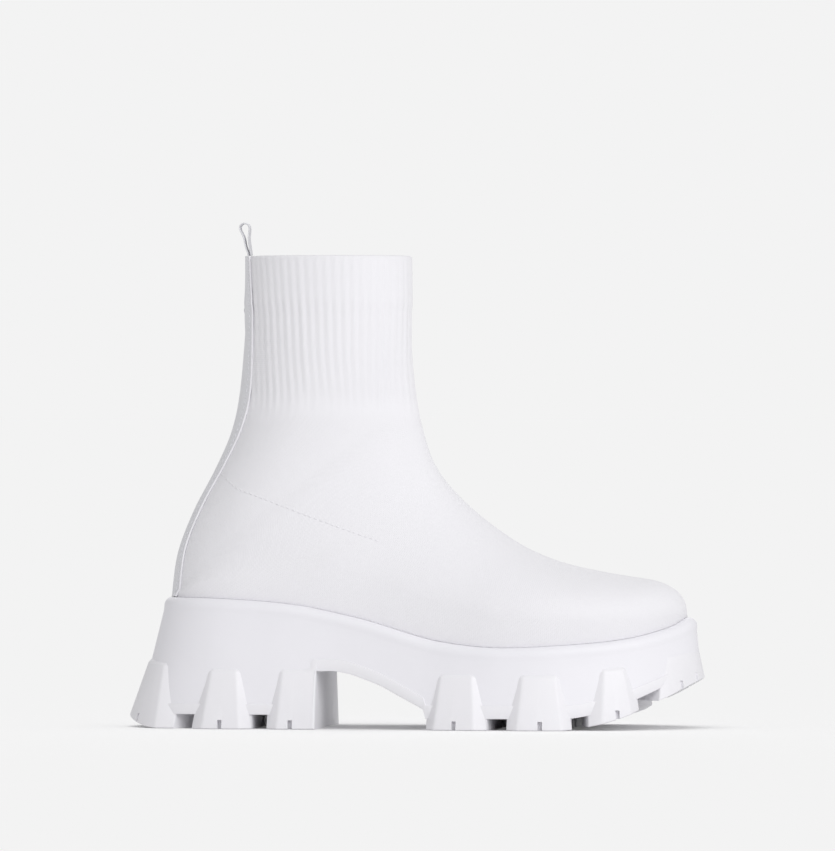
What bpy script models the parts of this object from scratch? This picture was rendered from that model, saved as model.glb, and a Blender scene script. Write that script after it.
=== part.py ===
"""A right-foot sock boot: a knitted upper with a ribbed shaft on a cleated platform sole.

Frame: +X towards the toe, +Y towards the inner (medial) side, +Z up, standing on z = 0.
Every position along the foot is a share of the last, 0 at the back of the heel and 1 at the toe.
"""
import math

import bmesh
import bpy
from mathutils import Vector

MM = 0.001

# Sizes of the last and of the upper
LAST_LENGTH = 259.9 * MM
BALL_WIDTH = 94.0 * MM
PLATFORM_HEIGHT = 41.2 * MM
HEEL_DROP = 24.6 * MM
TOE_LIFT = 14.6 * MM
ANKLE_HEIGHT = 166.5 * MM
COLLAR_HEIGHT = 239.5 * MM
KNIT_WALL = 2.0 * MM
CUFF_STEP = 0.7 * MM
CUFF_STEP_HEIGHT = 1.2 * MM
WALL_LEAN = 0.25

# Sizes of the sole
RIM_WIDTH = 5.0 * MM
RIM_RADIUS = 4.4 * MM
NECK_DEPTH = 0.7 * MM
NECK_DROP = 2.6 * MM
SIDE_FLARE = 0.08
BACK_FLARE = 0.25
TOE_FLARE = 0.10
TREAD_THICKNESS = 12.4 * MM
ARCH_HEIGHT = 29.0 * MM
ARCH_THICKNESS = 6.0 * MM
BREAST_THICKNESS = 6.0 * MM
TOE_SPRING = 25.0 * MM
TOE_SPRING_LENGTH = 66.0 * MM
HEEL_BEVEL = 5.0 * MM
HEEL_BEVEL_LENGTH = 18.5 * MM
LEDGE = 0.9 * MM
LEDGE_BEVEL = 0.6 * MM
TUCK = 4.0 * MM
ROOT_DEPTH = 1.2 * MM
STEP_SETBACK = 1.2 * MM
STEP_RAMP = 3.6 * MM
CHANNEL_DEPTH = 7.2 * MM
CHANNEL_RADIUS = 1.8 * MM
GROOVE_WIDTH = 9.0 * MM
GROOVE_DEPTH = 5.0 * MM
SIPE_WIDTH = 2.2 * MM
SIPE_DEPTH = 3.8 * MM
SIPE_LENGTH = 9.0 * MM
SIPE_OVERRUN = 1.5 * MM

# How far inside the feather edge each sole piece's flat middle starts
MIDSOLE_CORE = 8.0 * MM
OUTSOLE_CORE = 10.0 * MM
INSOLE_CORE = 12.0 * MM

# Sizes of the side lugs: how far they stand out and how much their faces narrow
LUG_STAND_TOP = 1.5 * MM
LUG_STAND_FOOT = 4.2 * MM
LUG_BEVEL = 2.4 * MM
LUG_INSET_FOOT = 5.2 * MM
LUG_INSET_TOP = 7.4 * MM
LUG_INSET_ROOT = 4.7 * MM
LUG_EDGE = 1.5 * MM

# Sizes of the small pieces
INSOLE_THICKNESS = 3.0 * MM
TAPE_THICKNESS = 0.9 * MM
LOOP_WIDTH = 12.0 * MM
LOOP_THICKNESS = 0.8 * MM
LOOP_HEIGHT = 16.2 * MM
LOOP_OPENING = 3.0 * MM
LOOP_LEG = 25.0 * MM
LOOP_LEAN = 1.6 * MM
BACK_RADIUS = 22.0 * MM

CLEARANCE = 0.3 * MM
STEP_GAP = 0.25 * MM
TAPE_EASE = 0.15 * MM
LOOP_EASE = 0.1 * MM
LEAST_BULGE = 0.1 * MM
WELD = 0.02 * MM
SLIVER = 0.002 * MM

# Plan of the feather edge. Breadths are shares of BALL_WIDTH either side of the last's axis.
OUTLINE = [
    # along   lateral  medial
    (0.0000,  0.000,   0.000),
    (0.0245,  0.200,   0.200),
    (0.0955,  0.317,   0.315),
    (0.2060,  0.351,   0.340),
    (0.3450,  0.370,   0.321),
    (0.5000,  0.426,   0.335),
    (0.6000,  0.482,   0.394),
    (0.6545,  0.503,   0.436),
    (0.7300,  0.503,   0.482),
    (0.7940,  0.473,   0.489),
    (0.8500,  0.425,   0.466),
    (0.9050,  0.344,   0.409),
    (0.9500,  0.240,   0.325),
    (0.9755,  0.152,   0.250),
    (0.9900,  0.077,   0.186),
    (1.0000, -0.053,   0.053),
]

# Height of the feather edge: shares of HEEL_DROP and of TOE_LIFT over the platform.
FEATHER = [
    # along  drop    lift
    (0.000,  1.000,  0.00),
    (0.093,  0.988,  0.00),
    (0.190,  0.930,  0.00),
    (0.268,  0.838,  0.00),
    (0.326,  0.715,  0.00),
    (0.384,  0.575,  0.00),
    (0.423,  0.460,  0.00),
    (0.462,  0.332,  0.00),
    (0.501,  0.212,  0.00),
    (0.540,  0.120,  0.00),
    (0.617,  0.020,  0.00),
    (0.680,  0.000,  0.01),
    (0.773,  0.000,  0.09),
    (0.851,  0.000,  0.20),
    (0.905,  0.000,  0.34),
    (0.952,  0.000,  0.56),
    (0.980,  0.000,  0.75),
    (1.000,  0.000,  1.00),
]

# Lower edge of the waist between heel breast and forefoot, as shares of the span and of ARCH_HEIGHT.
ARCH = [
    # span   height
    (0.00,   1.00),
    (0.18,   1.00),
    (0.32,   0.95),
    (0.47,   0.85),
    (0.61,   0.745),
    (0.74,   0.61),
    (0.88,   0.47),
    (1.00,   0.35),
]

# Lugs that climb the side wall: where each starts and ends along the last, its top as a share of
# LUG_HEIGHT over the tread's lower face, how far it stands out as a share, and its sipes a side.
LUG_HEIGHT = 29.5 * MM
LUGS = [
    # name         start   end     top    stand  sipes
    ("heel_back",  0.000,  0.047,  1.03,  1.00,  1),
    ("heel_mid",   0.073,  0.173,  1.00,  1.00,  1),
    ("heel_front", 0.204,  0.2985, 1.00,  1.00,  1),
    ("fore_rear",  0.520,  0.637,  0.93,  1.00,  1),
    ("fore_mid",   0.673,  0.790,  0.93,  1.00,  1),
    ("fore_front", 0.820,  0.905,  0.86,  1.00,  1),
    ("toe",        0.938,  1.000,  0.56,  0.40,  2),
]
BREAST = 0.2985
FOREFOOT = 0.513

# Sections of the upper, from the toe to the collar. The ridge is the section's front or top point and
# the end is its foot on the feather edge, or its point on the back line once past the heel.
#   ridge_x, end_x: shares of LAST_LENGTH; round: the end's place on the feather edge, 1 toe to 0 heel
#   rise, shaft: shares of the height from platform (ridge) or seat (end) to ankle, and ankle to collar
#   ridge_y, bulge: shares of BALL_WIDTH; widest: how far down the section is widest
#   square: below 1 is boxy and above 1 is peaked; full: how round the back is, 0.707 for an ellipse
TIP_RISE = TOE_LIFT / (ANKLE_HEIGHT - PLATFORM_HEIGHT)
FOOT_SECTIONS = [
    # ridge_x  rise      shaft   round   ridge_y  bulge   widest  square
    (1.0000,   TIP_RISE, 0.000,  1.000,  0.053,   0.000,  0.70,   0.90),
    (0.9945,   0.180,    0.000,  0.958,  0.053,   0.016,  0.70,   0.90),
    (0.9760,   0.228,    0.000,  0.912,  0.053,   0.024,  0.68,   0.90),
    (0.9400,   0.262,    0.000,  0.855,  0.055,   0.028,  0.66,   0.92),
    (0.8850,   0.281,    0.000,  0.790,  0.058,   0.028,  0.65,   0.95),
    (0.8200,   0.305,    0.000,  0.720,  0.062,   0.026,  0.65,   0.98),
    (0.7510,   0.340,    0.000,  0.650,  0.062,   0.024,  0.66,   1.02),
    (0.6860,   0.397,    0.000,  0.580,  0.058,   0.022,  0.68,   1.06),
    (0.6290,   0.474,    0.000,  0.515,  0.050,   0.022,  0.69,   1.10),
    (0.5830,   0.550,    0.000,  0.450,  0.040,   0.022,  0.70,   1.12),
    (0.5460,   0.626,    0.000,  0.390,  0.030,   0.022,  0.70,   1.12),
    (0.5175,   0.702,    0.000,  0.320,  0.020,   0.024,  0.70,   1.10),
    (0.4975,   0.786,    0.000,  0.250,  0.012,   0.030,  0.68,   1.08),
    (0.4845,   0.868,    0.000,  0.170,  0.006,   0.077,  0.65,   1.06),
    (0.4780,   0.938,    0.000,  0.085,  0.002,   0.186,  0.62,   1.04),
    (0.4740,   1.000,    0.000,  0.000,  0.000,   0.350,  0.59,   1.03),
]
SHAFT_SECTIONS = [
    # ridge_x  shaft   end_x    rise    end_shaft  bulge   widest  square  full
    (0.4705,   0.085,  0.0115,  0.215,  0.000,     0.346,  0.57,   1.02,   0.70),
    (0.4685,   0.175,  0.0410,  0.430,  0.000,     0.338,  0.55,   1.01,   0.68),
    (0.4670,   0.270,  0.0825,  0.640,  0.000,     0.331,  0.535,  0.99,   0.65),
    (0.4658,   0.370,  0.1150,  0.835,  0.000,     0.328,  0.52,   0.98,   0.63),
    (0.4650,   0.480,  0.1325,  1.000,  0.075,     0.329,  0.505,  0.97,   0.63),
    (0.4640,   0.617,  0.1425,  1.000,  0.617,     0.333,  0.50,   0.96,   0.66),
]
COLLAR_SECTIONS = [
    # ridge_x  shaft   end_x    bulge   widest  square  full
    (0.4637,   0.800,  0.1465,  0.333,  0.50,   0.96,   0.68),
    (0.4633,   1.000,  0.1490,  0.335,  0.50,   0.96,   0.70),
]
ROWS_BETWEEN = 1
UPPER_ARC = 8
LOWER_ARC = 6

# Half width of the heel tape up the back, as shares of TAPE_WIDTH against the upper's shaft sections
TAPE_WIDTH = 30.0 * MM
TAPE = [
    # section  half
    (0,        0.46),
    (1,        0.44),
    (2,        0.46),
    (4,        0.50),
    (5,        0.50),
    (6,        0.46),
    (8,        0.38),
]
TAPE_PARTS = (-1.0, -0.67, -0.33, 0.0, 0.33, 0.67, 1.0)

SOLE_STATIONS = 36
FACE_STATIONS = 3
WHITE_KNIT = (0.86, 0.85, 0.88, 1.0)
WHITE_FOAM = (0.84, 0.83, 0.86, 1.0)
WHITE_RUBBER = (0.84, 0.83, 0.86, 1.0)
WHITE_TAPE = (0.80, 0.80, 0.83, 1.0)


def clear_scene():
    """Removes whatever the file was opened with."""
    for obj in list(bpy.data.objects):
        bpy.data.objects.remove(obj)


def new_material(name, colour, roughness):
    """A plain Principled material."""
    material = bpy.data.materials.new(name)
    material.use_nodes = True
    shader = material.node_tree.nodes["Principled BSDF"]
    shader.inputs["Base Color"].default_value = colour
    shader.inputs["Roughness"].default_value = roughness
    shader.inputs["Metallic"].default_value = 0.0
    return material


def curve_value(knots, values, at):
    """A smooth curve through (knot, value) pairs: cubic pieces with slopes from their neighbours."""
    last = len(knots) - 1
    if at <= knots[0]:
        return values[0]
    if at >= knots[last]:
        return values[last]
    i = 0
    while at > knots[i + 1]:
        i += 1

    def slope(j):
        low, high = max(j - 1, 0), min(j + 1, last)
        return (values[high] - values[low]) / (knots[high] - knots[low])

    step = knots[i + 1] - knots[i]
    t = (at - knots[i]) / step
    return (
        (2 * t**3 - 3 * t**2 + 1) * values[i]
        + (t**3 - 2 * t**2 + t) * step * slope(i)
        + (-2 * t**3 + 3 * t**2) * values[i + 1]
        + (t**3 - t**2) * step * slope(i + 1)
    )


def turn_of(along):
    """The turn, 0 at the heel to pi at the toe, whose cosine gives a place along the last."""
    return math.acos(1 - 2 * min(max(along, 0.0), 1.0))


def along_of(turn):
    return (1 - math.cos(turn)) / 2


OUTLINE_TURNS = [turn_of(row[0]) for row in OUTLINE]
LATERAL, MEDIAL = -1, 1


def breadth(turn, side):
    """Half breadth of the feather edge on one side, in metres."""
    column = 1 if side == LATERAL else 2
    shares = [row[column] for row in OUTLINE]
    return curve_value(OUTLINE_TURNS, shares, turn) * BALL_WIDTH


def feather_height(along):
    knots = [row[0] for row in FEATHER]
    drop = curve_value(knots, [row[1] for row in FEATHER], along)
    lift = curve_value(knots, [row[2] for row in FEATHER], along)
    return PLATFORM_HEIGHT + HEEL_DROP * drop + TOE_LIFT * lift


def edge_point(turn, side):
    """Plan point of the feather edge. The heel's back is at x = 0 here."""
    return Vector((along_of(turn) * LAST_LENGTH, side * breadth(turn, side)))


def edge_normal(turn, side):
    """Outward direction of the feather edge in plan."""
    if turn < 1e-6:
        return Vector((-1.0, 0.0))
    if turn > math.pi - 1e-6:
        return Vector((1.0, 0.0))
    small = 0.002
    before = edge_point(max(turn - small, 0.0), side)
    after = edge_point(min(turn + small, math.pi), side)
    tangent = (after - before).normalized()
    return Vector((-side * tangent.y, side * tangent.x))


def outline_at(turn, side, offset):
    """Plan point that stands off the feather edge by offset."""
    return edge_point(turn, side) + edge_normal(turn, side) * offset


def wall_offset(turn, side, height):
    """How far the sole's side wall stands off the feather edge at a height over the floor."""
    normal = edge_normal(turn, side)
    flare = (
        SIDE_FLARE
        + (BACK_FLARE - SIDE_FLARE) * max(0.0, -normal.x) ** 1.5
        + (TOE_FLARE - SIDE_FLARE) * max(0.0, normal.x) ** 1.5
    )
    below = max(0.0, feather_height(along_of(turn)) - height - RIM_RADIUS)
    neck = NECK_DEPTH * min(1.0, below / NECK_DROP)
    return RIM_WIDTH - neck + flare * below


def tread_lift(x):
    """Height of the tread's lower face over the floor: toe spring and heel bevel."""
    toe_start = LAST_LENGTH + RIM_WIDTH + LUG_STAND_FOOT - TOE_SPRING_LENGTH
    heel_start = HEEL_BEVEL_LENGTH - RIM_WIDTH - 4 * LUG_STAND_FOOT
    if x > toe_start:
        return TOE_SPRING * ((x - toe_start) / TOE_SPRING_LENGTH) ** 1.6
    if x < heel_start:
        return HEEL_BEVEL * ((heel_start - x) / HEEL_BEVEL_LENGTH) ** 2
    return 0.0


def arch_height(along):
    """Height of the waist's lower edge."""
    span = (along - BREAST) / (FOREFOOT - BREAST)
    return curve_value([row[0] for row in ARCH], [row[1] for row in ARCH], span) * ARCH_HEIGHT


BLOCK_FRONT = BREAST - BREAST_THICKNESS / LAST_LENGTH
STEP_UP = BLOCK_FRONT - STEP_SETBACK / LAST_LENGTH


def tread_line(turn, side):
    """Height where the midsole sits on the outsole."""
    along = along_of(turn)
    if STEP_UP <= along <= FOREFOOT:
        return arch_height(max(along, BREAST)) + ARCH_THICKNESS
    return tread_lift(outline_at(turn, side, RIM_WIDTH).x) + TREAD_THICKNESS


def shift_turn(turn, distance):
    """The turn reached by going a distance along the lateral edge, towards the toe if positive."""
    steps = 24
    for _ in range(steps):
        near = edge_point(min(max(turn, 0.01), math.pi - 0.01) - 0.005, LATERAL)
        far = edge_point(min(max(turn, 0.01), math.pi - 0.01) + 0.005, LATERAL)
        turn += distance / steps / ((far - near).length / 0.01)
    return turn


def mesh_object(name, points, faces, collection, material=None, triangles=False):
    """A mesh object from points and faces, welded and with its faces pointing out."""
    mesh = bpy.data.meshes.new(name)
    mesh.from_pydata([tuple(p) for p in points], [], faces)
    form = bmesh.new()
    form.from_mesh(mesh)
    bmesh.ops.remove_doubles(form, verts=form.verts, dist=WELD)
    bmesh.ops.dissolve_degenerate(form, edges=form.edges, dist=SLIVER)
    bmesh.ops.triangulate(form, faces=[f for f in form.faces if triangles or len(f.verts) > 4])
    bmesh.ops.recalc_face_normals(form, faces=form.faces)
    form.to_mesh(mesh)
    form.free()
    obj = bpy.data.objects.new(name, mesh)
    collection.objects.link(obj)
    if material:
        mesh.materials.append(material)
    return obj


def swept_solid(name, stations, collection, material=None):
    """A closed solid from stations round the foot. stations[side] is a list from heel to toe of point
    lists, row 0 the inner edge of the top face and the last row the inner edge of the bottom face."""
    points, faces, index = [], [], {}
    for side in (LATERAL, MEDIAL):
        for k, rows in enumerate(stations[side]):
            for r, point in enumerate(rows):
                index[side, k, r] = len(points)
                points.append(point)
    last_station = len(stations[LATERAL]) - 1
    last_row = len(stations[LATERAL][0]) - 1
    for k in range(last_station):
        for r in range(last_row):
            for side in (LATERAL, MEDIAL):
                faces.append([index[side, k, r], index[side, k + 1, r],
                              index[side, k + 1, r + 1], index[side, k, r + 1]])
        for r in (0, last_row):
            faces.append([index[LATERAL, k, r], index[LATERAL, k + 1, r],
                          index[MEDIAL, k + 1, r], index[MEDIAL, k, r]])
    return mesh_object(name, points, faces, collection, material, triangles=True)


def station_points(turns, side, offsets, heights):
    """The rows of one station. Each row has its own turn, offset and height."""
    rows = []
    for turn, offset, height in zip(turns, offsets, heights):
        plan = outline_at(turn, side, offset)
        rows.append(Vector((plan.x, plan.y, height)))
    return rows


def midsole_stations(grow):
    """The midsole's stations, its faces moved out by grow all round."""
    turns = [math.pi * k / SOLE_STATIONS for k in range(SOLE_STATIONS + 1)]
    front = turn_of(BLOCK_FRONT)
    gap = turn_of(BLOCK_FRONT + STEP_GAP / LAST_LENGTH) - front
    waist_end = turn_of(FOREFOOT + 0.03)
    turns = [t for t in turns if abs(t - front) > 2 * gap]
    turns = sorted(turns + [front, front + gap])
    stations = {LATERAL: [], MEDIAL: []}
    inner = -MIDSOLE_CORE
    for turn in turns:
        along = along_of(turn)
        for side in (LATERAL, MEDIAL):
            top = feather_height(along) - CLEARANCE
            if turn <= front:
                bottom = tread_lift(outline_at(turn, side, RIM_WIDTH).x) + TREAD_THICKNESS
            elif FOREFOOT <= along and turn < waist_end:
                share = (turn - turn_of(FOREFOOT)) / (waist_end - turn_of(FOREFOOT))
                low = tread_line(waist_end, side)
                bottom = low + (arch_height(FOREFOOT) + ARCH_THICKNESS - low) * (1 - share)
            else:
                bottom = tread_line(turn, side)
            bottom += CLEARANCE
            offsets, heights = [inner], [top + grow]
            corner = RIM_WIDTH - RIM_RADIUS
            for step in range(4):
                bend = math.radians(30 * step)
                offsets.append(corner + (RIM_RADIUS + grow) * math.sin(bend))
                heights.append(top - RIM_RADIUS + (RIM_RADIUS + grow) * math.cos(bend))
            neck = feather_height(along) - RIM_RADIUS - NECK_DROP
            offsets.append(wall_offset(turn, side, neck) + grow)
            heights.append(neck)
            offsets.append(wall_offset(turn, side, bottom) + grow)
            heights.append(bottom - grow)
            offsets.append(inner)
            heights.append(bottom - grow)
            stations[side].append(station_points([turn] * len(offsets), side, offsets, heights))
    return stations


def plain_station(turn, side, line, low):
    """Rows of the outsole between lugs: a ledge at the tread line over a lower face at low."""
    wall = wall_offset(turn, side, line)
    inner = -OUTSOLE_CORE
    offsets = [inner, wall - TUCK, wall - TUCK / 2, wall + LEDGE, wall + LEDGE,
               wall + LEDGE - LEDGE_BEVEL, inner]
    heights = [line + TUCK, line + TUCK * 0.75, line + LEDGE_BEVEL, line - LEDGE_BEVEL * 0.7,
               low + LUG_EDGE * 0.7, low, low]
    return [(turn, offset, height) for offset, height in zip(offsets, heights)]


def inside_rows(turn, side, line, head):
    """Rows of a lug's station that lie under the midsole, or that close the breast behind it."""
    inner = -OUTSOLE_CORE
    wall = wall_offset(turn, side, line)
    if line > head:
        return [(turn, inner, line + TUCK), (turn, wall + LEDGE, line - LEDGE_BEVEL * 0.7)]
    return [(turn, inner, line + TUCK), (turn, wall - TUCK, line + TUCK * 1.25)]


def lug_station(turn_top, turn_foot, side, head, low, stand):
    """Rows of the outsole through a lug: a bevelled top, a face that stands out, and the tread."""
    line = tread_line(turn_foot, side)
    wall_head = wall_offset(turn_top, side, head)
    wall_foot = wall_offset(turn_foot, side, low + LUG_EDGE)
    root = wall_head + (LEDGE if line > head else -ROOT_DEPTH)
    return inside_rows(turn_foot, side, line, head) + [
        (turn_top, root, head + LUG_BEVEL * 0.6),
        (turn_top, wall_head + LUG_STAND_TOP * stand, head - LUG_BEVEL * 0.4),
        (turn_foot, wall_foot + LUG_STAND_FOOT * stand, low + LUG_EDGE),
        (turn_foot, wall_foot + LUG_STAND_FOOT * stand - LUG_EDGE, low),
        (turn_foot, -OUTSOLE_CORE, low),
    ]


def shoulder_station(turn_top, turn_foot, side, head, low):
    """Rows where a lug's side face meets the wall."""
    line = tread_line(turn_foot, side)
    wall_head = wall_offset(turn_top, side, head)
    wall_foot = wall_offset(turn_foot, side, low + LUG_EDGE)
    return inside_rows(turn_foot, side, line, head) + [
        (turn_top, wall_head - TUCK / 2, head),
        (turn_top, wall_head - TUCK / 4, head - LUG_BEVEL * 0.4),
        (turn_foot, wall_foot + LEDGE, low + LUG_EDGE * 0.7),
        (turn_foot, wall_foot + LEDGE - LEDGE_BEVEL, low),
        (turn_foot, -OUTSOLE_CORE, low),
    ]


def lug_edges(start, end):
    """Turns of a lug's foot edges and of its face's corners at foot, top and root."""
    first, last = turn_of(start), turn_of(end)
    square_first = start <= 0.0
    square_last = end >= 1.0 or end >= BREAST > start
    edges = {"first": first, "last": last, "square": (square_first, square_last)}
    for name, inset in (("foot", LUG_INSET_FOOT), ("top", LUG_INSET_TOP), ("root", LUG_INSET_ROOT)):
        edges[name] = (first if square_first else shift_turn(first, inset),
                       last if square_last else shift_turn(last, -inset))
    return edges


def outsole_rows(side):
    """Every station of the outsole on one side, from heel to toe, as rows of turn, offset, height."""
    rows = []
    hair, step = 0.0012, STEP_GAP / LAST_LENGTH * 2
    soft = CHANNEL_RADIUS / LAST_LENGTH * 2

    def low_at(turn):
        return tread_lift(outline_at(turn, LATERAL, RIM_WIDTH + LUG_STAND_FOOT).x)

    def plain(turn, roof):
        rows.append(plain_station(turn, side, tread_line(turn, side), low_at(turn) + roof))

    def waist(turn):
        low = arch_height(along_of(turn))
        rows.append(plain_station(turn, side, low + ARCH_THICKNESS, low))

    for number, (_name, start, end, top, stand, _sipes) in enumerate(LUGS):
        edges = lug_edges(start, end)
        middle = low_at((edges["first"] + edges["last"]) / 2)

        def head_at(turn):
            """The lug's top, which follows the toe spring and the heel bevel only in part."""
            return (low_at(turn) + 2 * middle) / 3 + LUG_HEIGHT * top

        if not edges["square"][0]:
            first = edges["first"]
            plain(first, 0.0)
            rows.append(shoulder_station(edges["root"][0], first + hair, side,
                                         head_at(first), low_at(first)))
        wraps = start <= 0.0 or end >= 1.0
        count = FACE_STATIONS * (3 if wraps else 1)
        shares = [k / count for k in range(count + 1)]
        upright = 2.0
        if edges["square"][1] and not wraps:
            span = edges["foot"][1] - edges["foot"][0]
            ramp = [turn_of(STEP_UP - STEP_RAMP / LAST_LENGTH), turn_of(STEP_UP + STEP_GAP / LAST_LENGTH)]
            ramp = [(turn - edges["foot"][0]) / span for turn in ramp]
            upright = ramp[0]
            shares = [upright * k / count for k in range(count)] + ramp + [1.0]
        for share in shares:
            turn_top = edges["top"][0] + (edges["top"][1] - edges["top"][0]) * share
            turn_foot = edges["foot"][0] + (edges["foot"][1] - edges["foot"][0]) * share
            if upright <= 1.0:
                lean = edges["top"][0] - edges["foot"][0]
                turn_top = turn_foot + lean * max(0.0, 1 - share / upright)
            rows.append(lug_station(turn_top, turn_foot, side,
                                    head_at(turn_top), low_at(turn_foot), stand))
        if end >= 1.0:
            break
        if edges["square"][1]:
            first, last = turn_of(BREAST) + step, turn_of(FOREFOOT)
            for k in range(9):
                waist(first + (last - first) * k / 8)
            continue
        last = edges["last"]
        rows.append(shoulder_station(edges["root"][1], last - hair, side,
                                     head_at(last), low_at(last)))
        following = turn_of(LUGS[number + 1][1])
        plain(last, 0.0)
        plain(last + step, CHANNEL_DEPTH - CHANNEL_RADIUS)
        plain(last + soft, CHANNEL_DEPTH)
        plain(following - soft, CHANNEL_DEPTH)
        plain(following - step, CHANNEL_DEPTH - CHANNEL_RADIUS)
    return rows


def outsole_stations():
    stations = {}
    for side in (LATERAL, MEDIAL):
        stations[side] = []
        for rows in outsole_rows(side):
            turns, offsets, heights = zip(*rows)
            stations[side].append(station_points(turns, side, offsets, heights))
    return stations


def box_mesh(name, collection, boxes):
    """Several separate boxes in one mesh. Each is (centre, size, direction of its length in plan)."""
    form = bmesh.new()
    for centre, size, direction in boxes:
        made = bmesh.ops.create_cube(form, size=1.0)
        bmesh.ops.scale(form, vec=size, verts=made["verts"])
        quarter = math.atan2(direction.y, direction.x)
        for vert in made["verts"]:
            x, y = vert.co.x, vert.co.y
            vert.co.x = x * math.cos(quarter) - y * math.sin(quarter) + centre.x
            vert.co.y = x * math.sin(quarter) + y * math.cos(quarter) + centre.y
            vert.co.z += centre.z
    mesh = bpy.data.meshes.new(name)
    form.to_mesh(mesh)
    form.free()
    obj = bpy.data.objects.new(name, mesh)
    obj.hide_render = True
    obj.display_type = "WIRE"
    collection.objects.link(obj)
    return obj


def sipe_boxes():
    """Short slots in the lower edge of each lug's face."""
    boxes = []
    for side in (LATERAL, MEDIAL):
        for _name, start, end, _top, stand, sipes in LUGS:
            for number in range(sipes):
                share = (number + 1) / (sipes + 1)
                turn = turn_of(start) * (1 - share) + turn_of(end) * share
                wall = wall_offset(turn, side, 0.0) + LUG_STAND_FOOT * stand
                normal = edge_normal(turn, side)
                plan = outline_at(turn, side, wall - SIPE_LENGTH / 2 + SIPE_OVERRUN)
                low = tread_lift(outline_at(turn, side, RIM_WIDTH + LUG_STAND_FOOT).x)
                centre = Vector((plan.x, plan.y, low))
                boxes.append((centre, Vector((SIPE_LENGTH, SIPE_WIDTH, SIPE_DEPTH * 2)), normal))
    return boxes


def groove_boxes():
    """Two lengthwise grooves under the sole, behind and ahead of the waist."""
    boxes = []
    for start, end in ((0.10, 0.27), (0.60, 0.86)):
        first = Vector((start * LAST_LENGTH, (breadth(turn_of(start), MEDIAL)
                                              - breadth(turn_of(start), LATERAL)) / 2))
        last = Vector((end * LAST_LENGTH, (breadth(turn_of(end), MEDIAL)
                                           - breadth(turn_of(end), LATERAL)) / 2))
        middle = (first + last) / 2
        size = Vector(((last - first).length, GROOVE_WIDTH, GROOVE_DEPTH * 2))
        boxes.append((Vector((middle.x, middle.y, 0.0)), size, (last - first).normalized()))
    return boxes


def cut(obj, cutter):
    modifier = obj.modifiers.new(cutter.name, "BOOLEAN")
    modifier.operation = "DIFFERENCE"
    modifier.solver = "EXACT"
    modifier.object = cutter


def hide(obj):
    obj.hide_render = True
    obj.display_type = "WIRE"
    return obj


def section_table():
    """All the upper's sections with the same columns, in metres: ridge point, end point, half
    breadth at the end on each side, bulge, widest, square, and how far the cuff stands proud."""
    sections = []
    rise = ANKLE_HEIGHT - PLATFORM_HEIGHT
    shaft_rise = COLLAR_HEIGHT - ANKLE_HEIGHT
    seat = PLATFORM_HEIGHT + HEEL_DROP
    for ridge_x, up, shaft, round_, ridge_y, bulge, widest, square in FOOT_SECTIONS:
        sections.append({
            "ridge_x": ridge_x * LAST_LENGTH,
            "ridge_z": PLATFORM_HEIGHT + rise * up + shaft_rise * shaft,
            "turn": round_ * math.pi, "end_x": 0.0, "end_z": seat,
            "ridge_y": ridge_y * BALL_WIDTH, "bulge": bulge * BALL_WIDTH,
            "widest": widest, "square": square, "full": math.sqrt(0.5), "proud": 0.0,
        })
    for ridge_x, shaft, end_x, up, end_shaft, bulge, widest, square, full in SHAFT_SECTIONS:
        sections.append({
            "ridge_x": ridge_x * LAST_LENGTH,
            "ridge_z": ANKLE_HEIGHT + shaft_rise * shaft,
            "turn": 0.0, "end_x": end_x * LAST_LENGTH,
            "end_z": seat + (ANKLE_HEIGHT - seat) * up + shaft_rise * end_shaft,
            "ridge_y": 0.0, "bulge": bulge * BALL_WIDTH,
            "widest": widest, "square": square, "full": full, "proud": 0.0,
        })
    for ridge_x, shaft, end_x, bulge, widest, square, full in COLLAR_SECTIONS:
        height = ANKLE_HEIGHT + shaft_rise * shaft
        sections.append({
            "ridge_x": ridge_x * LAST_LENGTH, "ridge_z": height,
            "turn": 0.0, "end_x": end_x * LAST_LENGTH, "end_z": height,
            "ridge_y": 0.0, "bulge": bulge * BALL_WIDTH,
            "widest": widest, "square": square, "full": full, "proud": CUFF_STEP,
        })
    return sections


def mean_end(row):
    """Mean half breadth of a section at its end."""
    return sum(section_frame(row)[2].values()) / 2


def spread_sections():
    """The sections of the table with smooth ones between them, and the cuff's step as two rows."""
    table = section_table()
    knots = list(range(len(table)))
    heel = len(FOOT_SECTIONS) - 1
    cuff = heel + len(SHAFT_SECTIONS)
    spread = []
    for k in knots:
        spread.append((float(k), table[k]))
        if k == cuff:
            step = dict(table[k], proud=CUFF_STEP)
            step["ridge_z"] += CUFF_STEP_HEIGHT
            step["end_z"] += CUFF_STEP_HEIGHT
            spread.append((k + 0.05, step))
        if k == knots[-1]:
            break
        for j in range(ROWS_BETWEEN):
            at = k + (j + 1) / (ROWS_BETWEEN + 1)
            row = {}
            for name in table[0]:
                values = [section[name] for section in table]
                row[name] = curve_value(knots, values, at)
            row["turn"] = max(row["turn"], 0.0) if k < heel else 0.0
            halves = [section["bulge"] + mean_end(section) for section in table]
            row["bulge"] = curve_value(knots, halves, at) - mean_end(row)
            row["proud"] = CUFF_STEP if k >= cuff else 0.0
            spread.append((at, row))
    return spread, heel


def section_frame(row):
    """Ridge and end points in the mid plane, and the half breadths at the end."""
    ridge = Vector((row["ridge_x"], row["ridge_z"]))
    if row["turn"] > 0.0:
        along = along_of(row["turn"])
        end = Vector((along * LAST_LENGTH, feather_height(along)))
        ends = {side: breadth(row["turn"], side) for side in (LATERAL, MEDIAL)}
    else:
        end = Vector((row["end_x"], row["end_z"]))
        ends = {LATERAL: 0.0, MEDIAL: 0.0}
    return ridge, end, ends


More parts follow.
